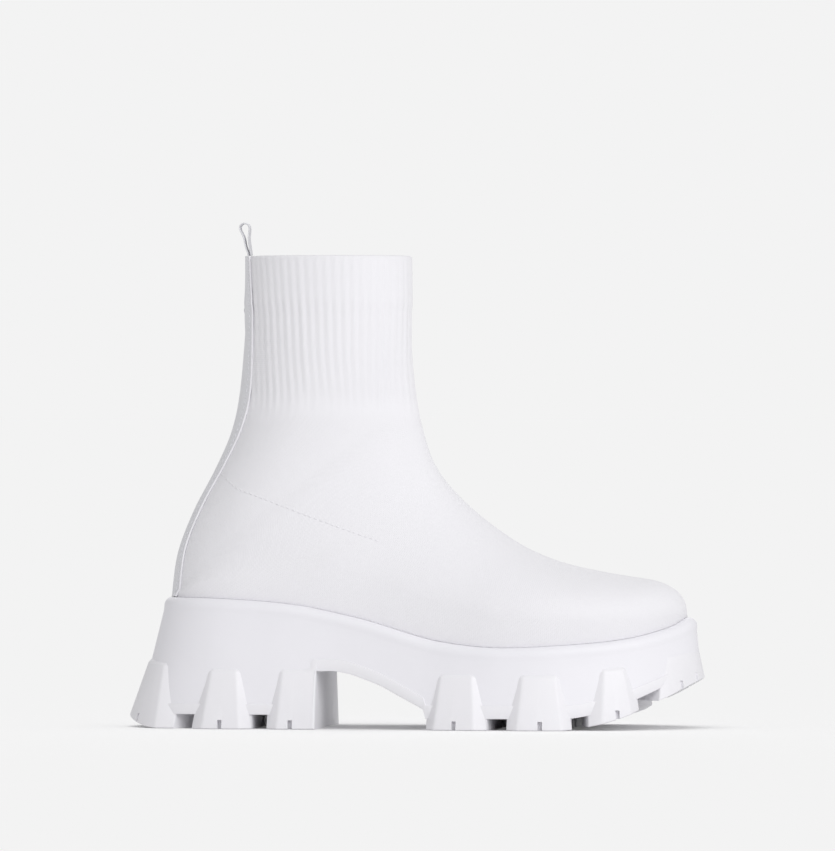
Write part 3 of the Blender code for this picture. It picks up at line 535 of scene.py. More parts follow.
def form_of(points, faces):
    """A closed form with its doubled points joined and its faces out."""
    form = bmesh.new()
    verts = [form.verts.new(point) for point in points]
    for face in faces:
        form.faces.new([verts[k] for k in face])
    bmesh.ops.remove_doubles(form, verts=form.verts, dist=WELD)
    bmesh.ops.recalc_face_normals(form, faces=form.faces)
    return form


def ring_faces(rings, around, first=0):
    """Faces between rings of points that follow each other, each ring closed."""
    faces = []
    for k in range(rings - 1):
        for j in range(around):
            start, following = first + k * around, (j + 1) % around
            faces.append([start + j, start + following,
                          start + around + following, start + around + j])
    return faces


def swept_faces(stations):
    """Points and faces of a closed form from rows round the foot, heel to toe on both sides."""
    points, faces, index = [], [], {}
    for side in (LATERAL, MEDIAL):
        for k, rows in enumerate(stations[side]):
            for r, point in enumerate(rows):
                index[side, k, r] = len(points)
                points.append(point)
    last_station = len(stations[LATERAL]) - 1
    last_row = len(stations[LATERAL][0]) - 1
    for k in range(last_station):
        for r in range(last_row):
            for side in (LATERAL, MEDIAL):
                faces.append([index[side, k, r], index[side, k + 1, r],
                              index[side, k + 1, r + 1], index[side, k, r + 1]])
        for r in (0, last_row):
            faces.append([index[LATERAL, k, r], index[LATERAL, k + 1, r],
                          index[MEDIAL, k + 1, r], index[MEDIAL, k, r]])
    ends = [k for k in (0, last_station)
            if (points[index[LATERAL, k, last_row]] - points[index[MEDIAL, k, last_row]]).length > MM]
    for k in ends:
        cap = [index[LATERAL, k, r] for r in range(last_row + 1)]
        cap += [index[MEDIAL, k, r] for r in reversed(range(last_row + 1))]
        faces.append(cap)
    return points, faces


# Materials

def add_node(tree, kind, settings=None, inputs=None):
    """A node with its settings, and its inputs set to values or linked to sockets."""
    node = tree.nodes.new(kind)
    for name, value in (settings or {}).items():
        setattr(node, name, value)
    for key, value in (inputs or {}).items():
        if isinstance(value, bpy.types.NodeSocket):
            tree.links.new(value, node.inputs[key])
        else:
            node.inputs[key].default_value = value
    return node


def start_material(name, colour, roughness, ior, sheen=0.0):
    """A material with a Principled shader, and its tree."""
    material = bpy.data.materials.new(name)
    material.use_nodes = True
    tree = material.node_tree
    shader = tree.nodes["Principled BSDF"]
    shader.inputs["Base Color"].default_value = (*colour, 1.0)
    shader.inputs["Roughness"].default_value = roughness
    shader.inputs["IOR"].default_value = ior
    if sheen:
        shader.inputs["Sheen Weight"].default_value = sheen
        shader.inputs["Sheen Roughness"].default_value = 0.5
    return material, tree, shader


def shade_and_tone(tree, colour, factor, depth):
    """A colour that darkens by a depth where the factor is 0. The fabrics use it for painted shade in the
    low parts of their relief, and the sole uses it for faint clouds of tone.
    """
    dark = [channel * (1 - depth) for channel in colour]
    mix = add_node(tree, "ShaderNodeMix", {"data_type": "RGBA"},
                   {0: factor, 6: (*dark, 1.0), 7: (*colour, 1.0)})
    return mix.outputs[2]


def knit_height(tree, place, width, height):
    """Height of plain knit: each stitch a V of two rounded legs. place holds millimetres."""
    axes = add_node(tree, "ShaderNodeSeparateXYZ", None, {0: place})
    across = add_node(tree, "ShaderNodeMath", {"operation": "DIVIDE"}, {0: axes.outputs[0], 1: width})
    leg = add_node(tree, "ShaderNodeMath", {"operation": "PINGPONG"}, {0: across.outputs[0], 1: 0.5})
    up = add_node(tree, "ShaderNodeMath", {"operation": "DIVIDE"}, {0: axes.outputs[1], 1: height})
    slant = add_node(tree, "ShaderNodeMath", {"operation": "MULTIPLY_ADD"},
                     {0: leg.outputs[0], 1: 1.5, 2: up.outputs[0]})
    wave = add_node(tree, "ShaderNodeMath", {"operation": "MULTIPLY"}, {0: slant.outputs[0], 1: 2 * math.pi})
    loop = add_node(tree, "ShaderNodeMath", {"operation": "SINE"}, {0: wave.outputs[0]})
    loop = add_node(tree, "ShaderNodeMath", {"operation": "MULTIPLY_ADD"},
                    {0: loop.outputs[0], 1: 0.3, 2: 0.7})
    round_ = add_node(tree, "ShaderNodeMath", {"operation": "PINGPONG"}, {0: leg.outputs[0], 1: 0.25})
    round_ = add_node(tree, "ShaderNodeMath", {"operation": "MULTIPLY"}, {0: round_.outputs[0], 1: 4.0})
    round_ = add_node(tree, "ShaderNodeMath", {"operation": "POWER"}, {0: round_.outputs[0], 1: 0.5})
    return add_node(tree, "ShaderNodeMath", {"operation": "MULTIPLY"},
                    {0: loop.outputs[0], 1: round_.outputs[0]}).outputs[0]


def knit_material(sizes, colours):
    """Flat-knitted polyester yarn: matt, soft to the light, with rows of small V stitches."""
    colour = list(colours.knit)
    material, tree, shader = start_material("flat-knitted polyester yarn", colour, 0.88, 1.5, 0.25)
    # A fine sock has about 11 stitches to the centimetre. These are 1.3 mm wide, so that they show.
    foot = add_node(tree, "ShaderNodeAttribute", {"attribute_name": "knit_place"})
    shaft = add_node(tree, "ShaderNodeAttribute", {"attribute_name": "rib_place"})
    width, height = sizes.stitch_width / MM, sizes.stitch_height / MM
    plain = knit_height(tree, foot.outputs["Vector"], width, height)
    ribbed = knit_height(tree, shaft.outputs["Vector"], width, height)
    cuff = add_node(tree, "ShaderNodeSeparateXYZ", None, {0: shaft.outputs["Vector"]})
    stitches = add_node(tree, "ShaderNodeMix", {"data_type": "FLOAT"},
                        {0: cuff.outputs[2], 2: plain, 3: ribbed})
    # Painted shade: the base colour is up to 7% darker in the valleys between the stitches' yarns. A faint
    # cloud also darkens it at random, as uneven yarn tone.
    spot = add_node(tree, "ShaderNodeTexCoord")
    cloud = add_node(tree, "ShaderNodeTexNoise", None,
                     {"Vector": spot.outputs["Object"], "Scale": 1 / (40 * MM), "Detail": 3.0})
    level = add_node(tree, "ShaderNodeMapRange", None,
                     {"Value": cloud.outputs["Fac"], "From Min": 0.3, "From Max": 0.7,
                      "To Min": 0.75, "To Max": 1.0})
    tone = add_node(tree, "ShaderNodeMath", {"operation": "MULTIPLY"},
                    {0: level.outputs[0], 1: stitches.outputs[0]})
    tree.links.new(shade_and_tone(tree, colour, tone.outputs[0], 0.07), shader.inputs["Base Color"])
    # The heel counter lifts the knit as far as its seam.
    seam = add_node(tree, "ShaderNodeAttribute", {"attribute_name": "seam_place"})
    seam = add_node(tree, "ShaderNodeSeparateXYZ", None, {0: seam.outputs["Vector"]})
    edge = add_node(tree, "ShaderNodeMapRange", {"interpolation_type": "SMOOTHSTEP"},
                    {"Value": seam.outputs[0], "From Min": -0.9, "From Max": 0.9})
    edge = add_node(tree, "ShaderNodeMath", {"operation": "MULTIPLY"},
                    {0: edge.outputs[0], 1: seam.outputs[1]})
    lift = add_node(tree, "ShaderNodeBump", None,
                    {"Height": edge.outputs[0], "Strength": 0.8, "Distance": sizes.counter_relief})
    relief = add_node(tree, "ShaderNodeBump", None,
                      {"Height": stitches.outputs[0], "Strength": 0.7, "Distance": sizes.stitch_relief,
                       "Normal": lift.outputs[0]})
    tree.links.new(relief.outputs[0], shader.inputs["Normal"])
    return material


def lining_material(colours):
    """Brushed jersey: the soft inside face of the knit, with a short nap that blurs its rows."""
    colour = list(colours.lining)
    material, tree, shader = start_material("brushed jersey lining", colour, 0.95, 1.5, 0.35)
    place = add_node(tree, "ShaderNodeAttribute", {"attribute_name": "knit_place"})
    stitches = knit_height(tree, place.outputs["Vector"], 1.4, 1.1)
    nap = add_node(tree, "ShaderNodeTexNoise", None,
                   {"Vector": place.outputs["Vector"], "Scale": 1 / 0.5, "Detail": 4.0})
    height = add_node(tree, "ShaderNodeMath", {"operation": "MULTIPLY_ADD"},
                      {0: nap.outputs["Fac"], 1: 0.8, 2: stitches})
    # Painted shade: the base colour is up to 12% darker where the nap's relief is low.
    tree.links.new(shade_and_tone(tree, colour, nap.outputs["Fac"], 0.12), shader.inputs["Base Color"])
    relief = add_node(tree, "ShaderNodeBump", None,
                      {"Height": height.outputs[0], "Strength": 0.5, "Distance": 0.15 * MM})
    tree.links.new(relief.outputs[0], shader.inputs["Normal"])
    return material


def tape_material(colours):
    """Woven polyester twill tape: flat yarns in slanting ribs, with a slight lustre."""
    colour = list(colours.tape)
    material, tree, shader = start_material("woven polyester twill tape", colour, 0.62, 1.52, 0.1)
    place = add_node(tree, "ShaderNodeAttribute", {"attribute_name": "weave_place"})
    axes = add_node(tree, "ShaderNodeSeparateXYZ", None, {0: place.outputs["Vector"]})
    # Herringbone: the slant turns back every 2.5 mm across the tape.
    turn = add_node(tree, "ShaderNodeMath", {"operation": "PINGPONG"}, {0: axes.outputs[0], 1: 2.5})
    slant = add_node(tree, "ShaderNodeMath", {"operation": "ADD"}, {0: turn.outputs[0], 1: axes.outputs[1]})
    # Real twill has about 30 ribs to the inch. These are 1.6 mm apart, so that they show.
    wave = add_node(tree, "ShaderNodeMath", {"operation": "MULTIPLY"},
                    {0: slant.outputs[0], 1: 2 * math.pi / 1.6})
    ribs = add_node(tree, "ShaderNodeMath", {"operation": "SINE"}, {0: wave.outputs[0]})
    ribs = add_node(tree, "ShaderNodeMath", {"operation": "MULTIPLY_ADD"},
                    {0: ribs.outputs[0], 1: 0.5, 2: 0.5})
    yarn = add_node(tree, "ShaderNodeMath", {"operation": "MULTIPLY"},
                    {0: axes.outputs[0], 1: 2 * math.pi / 0.45})
    yarn = add_node(tree, "ShaderNodeMath", {"operation": "SINE"}, {0: yarn.outputs[0]})
    height = add_node(tree, "ShaderNodeMath", {"operation": "MULTIPLY_ADD"},
                      {0: yarn.outputs[0], 1: 0.2, 2: ribs.outputs[0]})
    # Painted shade: the base colour is up to 7% darker in the valleys between the twill's ribs.
    tree.links.new(shade_and_tone(tree, colour, ribs.outputs[0], 0.07), shader.inputs["Base Color"])
    relief = add_node(tree, "ShaderNodeBump", None,
                      {"Height": height.outputs[0], "Strength": 0.5, "Distance": 0.12 * MM})
    tree.links.new(relief.outputs[0], shader.inputs["Normal"])
    return material


def thread_material(colours):
    """Spun polyester sewing thread: two plies twisted, matt, a little brighter than the knit."""
    colour = list(colours.thread)
    material, tree, shader = start_material(THREAD, colour, 0.7, 1.53, 0.15)
    spot = add_node(tree, "ShaderNodeTexCoord")
    twist = add_node(tree, "ShaderNodeTexNoise", None,
                     {"Vector": spot.outputs["Object"], "Scale": 1 / (0.4 * MM), "Detail": 2.0})
    # Painted shade: the base colour is up to 6% darker where the twist's relief is low.
    tree.links.new(shade_and_tone(tree, colour, twist.outputs["Fac"], 0.06), shader.inputs["Base Color"])
    relief = add_node(tree, "ShaderNodeBump", None,
                      {"Height": twist.outputs["Fac"], "Strength": 0.4, "Distance": 0.08 * MM})
    tree.links.new(relief.outputs[0], shader.inputs["Normal"])
    return material


def footbed_material(colours):
    """Polyester canvas on foam: a plain over and under weave, matt and a little warmer."""
    colour = list(colours.lining)
    material, tree, shader = start_material("polyester canvas footbed", colour, 0.9, 1.5, 0.2)
    spot = add_node(tree, "ShaderNodeTexCoord")
    axes = add_node(tree, "ShaderNodeSeparateXYZ", None, {0: spot.outputs["Object"]})
    # A real canvas has about 20 yarns to the centimetre. These are 0.6 mm wide, so that they show.
    waves = []
    for axis in (0, 1):
        wave = add_node(tree, "ShaderNodeMath", {"operation": "MULTIPLY"},
                        {0: axes.outputs[axis], 1: 2 * math.pi / (1.2 * MM)})
        waves.append(add_node(tree, "ShaderNodeMath", {"operation": "SINE"}, {0: wave.outputs[0]}))
    weave = add_node(tree, "ShaderNodeMath", {"operation": "MULTIPLY"},
                     {0: waves[0].outputs[0], 1: waves[1].outputs[0]})
    weave = add_node(tree, "ShaderNodeMath", {"operation": "MULTIPLY_ADD"},
                     {0: weave.outputs[0], 1: 0.5, 2: 0.5})
    # Painted shade: the base colour is up to 10% darker in the hollows between the canvas yarns.
    tree.links.new(shade_and_tone(tree, colour, weave.outputs[0], 0.10), shader.inputs["Base Color"])
    relief = add_node(tree, "ShaderNodeBump", None,
                      {"Height": weave.outputs[0], "Strength": 0.5, "Distance": 0.12 * MM})
    tree.links.new(relief.outputs[0], shader.inputs["Normal"])
    return material


def moulded_material(name, colour, roughness, ior, grain):
    """A moulded sole: the mould's fine etched grain, and faint clouds where the melt ran together."""
    material, tree, shader = start_material(name, colour, roughness, ior)
    spot = add_node(tree, "ShaderNodeTexCoord")
    etched = add_node(tree, "ShaderNodeTexNoise", None,
                      {"Vector": spot.outputs["Object"], "Scale": 1 / grain, "Detail": 3.0})
    cloud = add_node(tree, "ShaderNodeTexNoise", None,
                     {"Vector": spot.outputs["Object"], "Scale": 1 / (30 * MM), "Detail": 2.0})
    tree.links.new(shade_and_tone(tree, colour, cloud.outputs["Fac"], 0.035), shader.inputs["Base Color"])
    gloss = add_node(tree, "ShaderNodeMapRange", None,
                     {"Value": etched.outputs["Fac"], "From Min": 0.25, "From Max": 0.75,
                      "To Min": roughness - 0.06, "To Max": roughness + 0.08})
    tree.links.new(gloss.outputs[0], shader.inputs["Roughness"])
    relief = add_node(tree, "ShaderNodeBump", None,
                      {"Height": etched.outputs["Fac"], "Strength": 0.25, "Distance": 0.06 * MM})
    tree.links.new(relief.outputs[0], shader.inputs["Normal"])
    return material


# The upper's sections

def section_table():
    """All the upper's sections with the same columns, in metres."""
    rise = ANKLE_HEIGHT - PLATFORM_HEIGHT
    shaft_rise = COLLAR_HEIGHT - ANKLE_HEIGHT
    seat = PLATFORM_HEIGHT + HEEL_DROP
    sections = []

    def add(ridge_x, ridge_z, end_x, end_z, bulge, widest, square,
            full=math.sqrt(0.5), turn=0.0, ridge_y=0.0, proud=0.0):
        sections.append({
            "ridge_x": ridge_x * LAST_LENGTH, "ridge_z": ridge_z, "ridge_y": ridge_y * BALL_WIDTH,
            "end_x": end_x * LAST_LENGTH, "end_z": end_z, "bulge": bulge * BALL_WIDTH,
            "widest": widest, "square": square, "full": full, "turn": turn, "proud": proud,
        })

    for ridge_x, up, round_, ridge_y, bulge, widest, square in FOOT_SECTIONS:
        add(ridge_x, PLATFORM_HEIGHT + rise * up, 0.0, seat, bulge, widest, square,
            turn=round_ * math.pi, ridge_y=ridge_y)
    for ridge_x, shaft, end_x, up, end_shaft, bulge, widest, square, full in SHAFT_SECTIONS:
        end_z = seat + (ANKLE_HEIGHT - seat) * up + shaft_rise * end_shaft
        add(ridge_x, ANKLE_HEIGHT + shaft_rise * shaft, end_x, end_z, bulge, widest, square, full)
    for ridge_x, shaft, end_x, bulge, widest, square, full in COLLAR_SECTIONS:
        height = ANKLE_HEIGHT + shaft_rise * shaft
        add(ridge_x, height, end_x, height, bulge, widest, square, full, proud=CUFF_STEP)
    return sections


def section_frame(row):
    """Ridge and end points in the mid plane, and the half breadths at the end."""
    ridge = Vector((row["ridge_x"], row["ridge_z"]))
    if row["turn"] > 0.0:
        along = along_of(row["turn"])
        end = Vector((along * LAST_LENGTH, feather_height(along)))
        return ridge, end, {side: breadth(row["turn"], side) for side in (LATERAL, MEDIAL)}
    return ridge, Vector((row["end_x"], row["end_z"])), {LATERAL: 0.0, MEDIAL: 0.0}


def mean_end(row):
    """Mean half breadth of a section at its end."""
    return sum(section_frame(row)[2].values()) / 2


def spread_sections(rows_between):
    """The sections of the table with smooth ones between them, and the cuff a step proud."""
    table = section_table()
    knots = list(range(len(table)))
    heel = len(FOOT_SECTIONS) - 1
    cuff = heel + len(SHAFT_SECTIONS)
    halves = [section["bulge"] + mean_end(section) for section in table]
    columns = {name: [section[name] for section in table] for name in table[0]}
    spread = []
    for k in knots:
        spread.append((float(k), table[k]))
        if k == knots[-1]:
            break
        for j in range(rows_between):
            at = k + (j + 1) / (rows_between + 1)
            row = {name: curve_value(knots, values, at) for name, values in columns.items()}
            row["turn"] = max(row["turn"], 0.0) if k < heel else 0.0
            row["bulge"] = curve_value(knots, halves, at) - mean_end(row)
            row["proud"] = CUFF_STEP if k >= cuff else 0.0
            spread.append((at, row))
    return spread, heel


def end_steepness(row, side, length):
    """How steeply the lower arc runs in at its end, so that the wall stands up from the feather."""
    ridge, end, _ends = section_frame(row)
    if row["turn"] <= 0.0:
        return 1e6
    run = (end - ridge).normalized()
    normal = edge_normal(row["turn"], side)
    inward = (normal.x * run.x - WALL_LEAN * run.y) / max(0.02, abs(normal.y))
    return max(1.1, inward * length / max(row["bulge"], LEAST_BULGE))


def arc_weights(bend, full):
    """Weights of a rounded corner's start, corner and end."""
    return (1 - bend) ** 2, 2 * full * bend * (1 - bend), bend**2


def section_arc(row, side, bends, lower):
    """Points of a section's upper arc, ridge to widest, or of its lower arc, widest to end."""
    ridge, end, ends = section_frame(row)
    half = ends[side] + row["bulge"]
    points = []
    if lower:
        corner = 1 - 1 / end_steepness(row, side, (1 - row["widest"]) * (end - ridge).length)
    for bend in bends:
        if lower:
            weights = arc_weights(bend, row["full"])
            total = sum(weights)
            share = row["widest"] + (1 - row["widest"]) * (weights[1] * corner + weights[2]) / total
            y = side * (ends[side] + row["bulge"] * (weights[0] + weights[1]) / total)
        else:
            angle = QUARTER * bend
            share = row["widest"] * (1 - math.cos(angle) ** row["square"])
            y = row["ridge_y"] + (side * half - row["ridge_y"]) * math.sin(angle) ** row["square"]
        place = ridge + (end - ridge) * share
        points.append(Vector((place.x, y, place.y)))
    return points


def resampled(points, count):
    """The same line with evenly spaced points, and the distance of each from the line's start."""
    reach = reach_along(points)
    line, spots, i = [], [], 0
    for k in range(count + 1):
        at = reach[-1] * k / count
        while i < len(points) - 2 and reach[i + 1] < at:
            i += 1
        span = reach[i + 1] - reach[i]
        line.append(points[i].lerp(points[i + 1], (at - reach[i]) / span if span else 0.0))
        spots.append(at)
    return line, spots


def section_line(row):
    """A whole section as an even line from its lateral end over the ridge to its medial end, pushed
    out by the cuff's step, and each point's distance from the ridge."""
    bends = [k / ARC_SAMPLES for k in range(ARC_SAMPLES + 1)]
    halves = []
    for side in (LATERAL, MEDIAL):
        arc = section_arc(row, side, bends, False) + section_arc(row, side, bends[1:], True)
        if row["proud"]:
            middle = Vector(((row["ridge_x"] + row["end_x"]) / 2, 0.0, 0.0))
            for point in arc:
                away = Vector((point.x - middle.x, point.y, 0.0))
                point += away.normalized() * row["proud"]
        halves.append(resampled(arc, UPPER_COLUMNS // 2))
    (lateral, lateral_spots), (medial, medial_spots) = halves
    return lateral[::-1] + medial[1:], lateral_spots[::-1] + [-spot for spot in medial_spots[1:]]


def back_and_front(height, spread, heel):
    """The x of the shaft's back and front line at a height."""
    rows = [row for at, row in spread if at >= heel]
    backs = sorted((row["end_z"], row["end_x"]) for row in rows)
    fronts = sorted((row["ridge_z"], row["ridge_x"]) for row in rows)
    found = []
    for line in (backs, fronts):
        spot = line[0][1]
        for (low, low_x), (high, high_x) in zip(line, line[1:]):
            if high > low and height >= low:
                spot = low_x + (high_x - low_x) * min(1.0, (height - low) / (high - low))
        found.append(spot)
    return found


def girth_shares(breadth_over_depth):
    """For even angles round an ellipse from its front, the share of the half girth passed."""
    count = 90
    reach = [0.0]
    for k in range(count):
        first, second = math.pi * k / count, math.pi * (k + 1) / count
        step = Vector((math.cos(second) - math.cos(first),
                       breadth_over_depth * (math.sin(second) - math.sin(first))))
        reach.append(reach[-1] + step.length)
    return [value / reach[-1] for value in reach]


# Settings

class UpperSizes(bpy.types.PropertyGroup):
    """Sizes of the knit that a user would change."""
    rib_pitch: FloatProperty(name="Rib pitch", description="Distance from one rib to the next",
                             default=4.7 * MM, unit="LENGTH")
    rib_relief: FloatProperty(name="Rib relief", description="How far a rib stands over its valley",
                              default=0.72 * MM, unit="LENGTH")
    hem_relief: FloatProperty(name="Hem rib relief", description="Rib relief in the doubled hem",
                              default=0.34 * MM, unit="LENGTH")
    counter_relief: FloatProperty(name="Counter relief", description="How far the counter lifts the knit",
                                  default=0.8 * MM, unit="LENGTH")
    rib_lean: FloatProperty(name="Rib lean", description="How far the ribs lean forward beside the tape",
                            default=math.radians(9), subtype="ANGLE", unit="ROTATION")
    rib_end: FloatProperty(name="Rib end", description="Height where the ribs run out into plain knit",
                           default=164.5 * MM, unit="LENGTH")
    stitch_width: FloatProperty(name="Stitch width", description="Width of one knit stitch",
                                default=1.3 * MM, unit="LENGTH")
    stitch_height: FloatProperty(name="Stitch height", description="Height of one knit stitch",
                                 default=1.0 * MM, unit="LENGTH")
    stitch_relief: FloatProperty(name="Stitch relief", description="Depth between the knit's yarns",
                                 default=0.16 * MM, unit="LENGTH")


class SoleSizes(bpy.types.PropertyGroup):
    """Sizes of the sole's finish that a user would change."""
    lug_round: FloatProperty(name="Lug rounding", description="Radius along the edges of the lugs",
                             default=0.9 * MM, unit="LENGTH")
    welt_depth: FloatProperty(name="Seam groove", description="Depth of the groove over the rim",
                              default=0.15 * MM, unit="LENGTH")
    grain: FloatProperty(name="Mould grain", description="Width of the mould's etched grain",
                         default=0.7 * MM, unit="LENGTH")


class StitchSizes(bpy.types.PropertyGroup):
    """Sizes of the sewn stitches that a user would change."""
    length: FloatProperty(name="Stitch length", description="Length of thread that shows in one stitch",
                          default=2.1 * MM, unit="LENGTH")
    pitch: FloatProperty(name="Stitch pitch", description="Distance from one stitch to the next",
                         default=2.9 * MM, unit="LENGTH")
    thread: FloatProperty(name="Thread width", description="Thickness of the sewing thread",
                          default=0.5 * MM, unit="LENGTH")


class BootColours(bpy.types.PropertyGroup):
    """Colours of the boot's materials."""
    knit: FloatVectorProperty(name="Knit", description="Colour of the knit", subtype="COLOR", size=3,
                              default=linear("#F2F1F5"))
    lining: FloatVectorProperty(name="Lining", description="Colour of lining and footbed",
                                subtype="COLOR", size=3, default=linear("#E9E7EA"))
    tape: FloatVectorProperty(name="Tape", description="Colour of back tape and pull loop",
                              subtype="COLOR", size=3, default=linear("#E6E6EA"))
    thread: FloatVectorProperty(name="Thread", description="Colour of the thread", subtype="COLOR",
                                size=3, default=linear("#F0EFF3"))
    foam: FloatVectorProperty(name="Midsole", description="Colour of the foam midsole", subtype="COLOR",
                              size=3, default=linear("#EDECF1"))
    rubber: FloatVectorProperty(name="Outsole", description="Colour of the rubber outsole",
                                subtype="COLOR", size=3, default=linear("#EDECF0"))


class StageSizes(bpy.types.PropertyGroup):
    """The camera and the light."""
    azimuth: FloatProperty(name="Azimuth", description="Camera's turn towards the toe",
                           default=math.radians(6.5), subtype="ANGLE", unit="ROTATION")
    elevation: FloatProperty(name="Elevation", description="Camera's height over the horizon",
                             default=math.radians(0.45), subtype="ANGLE", unit="ROTATION")
    distance: FloatProperty(name="Distance", description="Camera's distance from the boot",
                            default=5.0, unit="LENGTH")
    world: FloatProperty(name="Surrounding light", description="Strength of the light from all round",
                         default=0.58)
    key: FloatProperty(name="Key light", description="Strength of the large light at front right",
                       default=32.0, unit="POWER")


def settings():
    return bpy.context.scene.sock_boot


# Threads

def sewing_thread():
    """The thread's material, made once and shared."""
    return bpy.data.materials.get(THREAD) or thread_material(settings().colours)


def set_place(mesh, name, values):
    """Keeps a vector of millimetres for each point, which a material reads as its pattern's place."""
    layer = mesh.attributes.new(name, "FLOAT_VECTOR", "POINT")
    layer.data.foreach_set("vector", [part for value in values for part in value])


def capsules(name, paths, radius, material, sink=0.0):
    """Short rounded threads in one mesh. Each path is (start, end, outward direction)."""
    form = bmesh.new()
    around, along = 6, 4
    for start, end, out in paths:
        axis = (end - start).normalized()
        across = axis.cross(out).normalized()
        up = across.cross(axis).normalized()
        rings = []
        for k in range(along + 1):
            share = k / along
            bow = math.sin(math.pi * share)
            width = radius * (0.45 + 0.55 * bow ** 0.5)
            middle = start.lerp(end, share) + up * (radius * 0.7 * bow - sink) + PLACE
            turns = [2 * math.pi * j / around for j in range(around)]
            rings.append([form.verts.new(middle + (across * math.cos(turn) + up * math.sin(turn)) * width)
                          for turn in turns])
        for ring, following in zip(rings, rings[1:]):
            for j in range(around):
                following_j = (j + 1) % around
                form.faces.new([ring[j], ring[following_j], following[following_j], following[j]])
        form.faces.new(rings[0][::-1])
        form.faces.new(rings[-1])
    bmesh.ops.recalc_face_normals(form, faces=form.faces)
    finish_shading(form, None)
    return object_of(form, name, material)


def stitch_run(line, outs, sizes):
    """Stitches along a line of points with their outward directions."""
    reach = reach_along(line)
    count = max(2, int(reach[-1] / sizes.pitch))
    even, spots = resampled(line, count * 4)
    runs = []
    for k in range(0, 4 * count, 4):
        along = (even[k + 2] - even[k]).normalized()
        nearest = min(range(len(reach)), key=lambda j: abs(reach[j] - spots[k]))
        runs.append((even[k], even[k] + along * sizes.length, outs[nearest]))
    return runs


# Operators

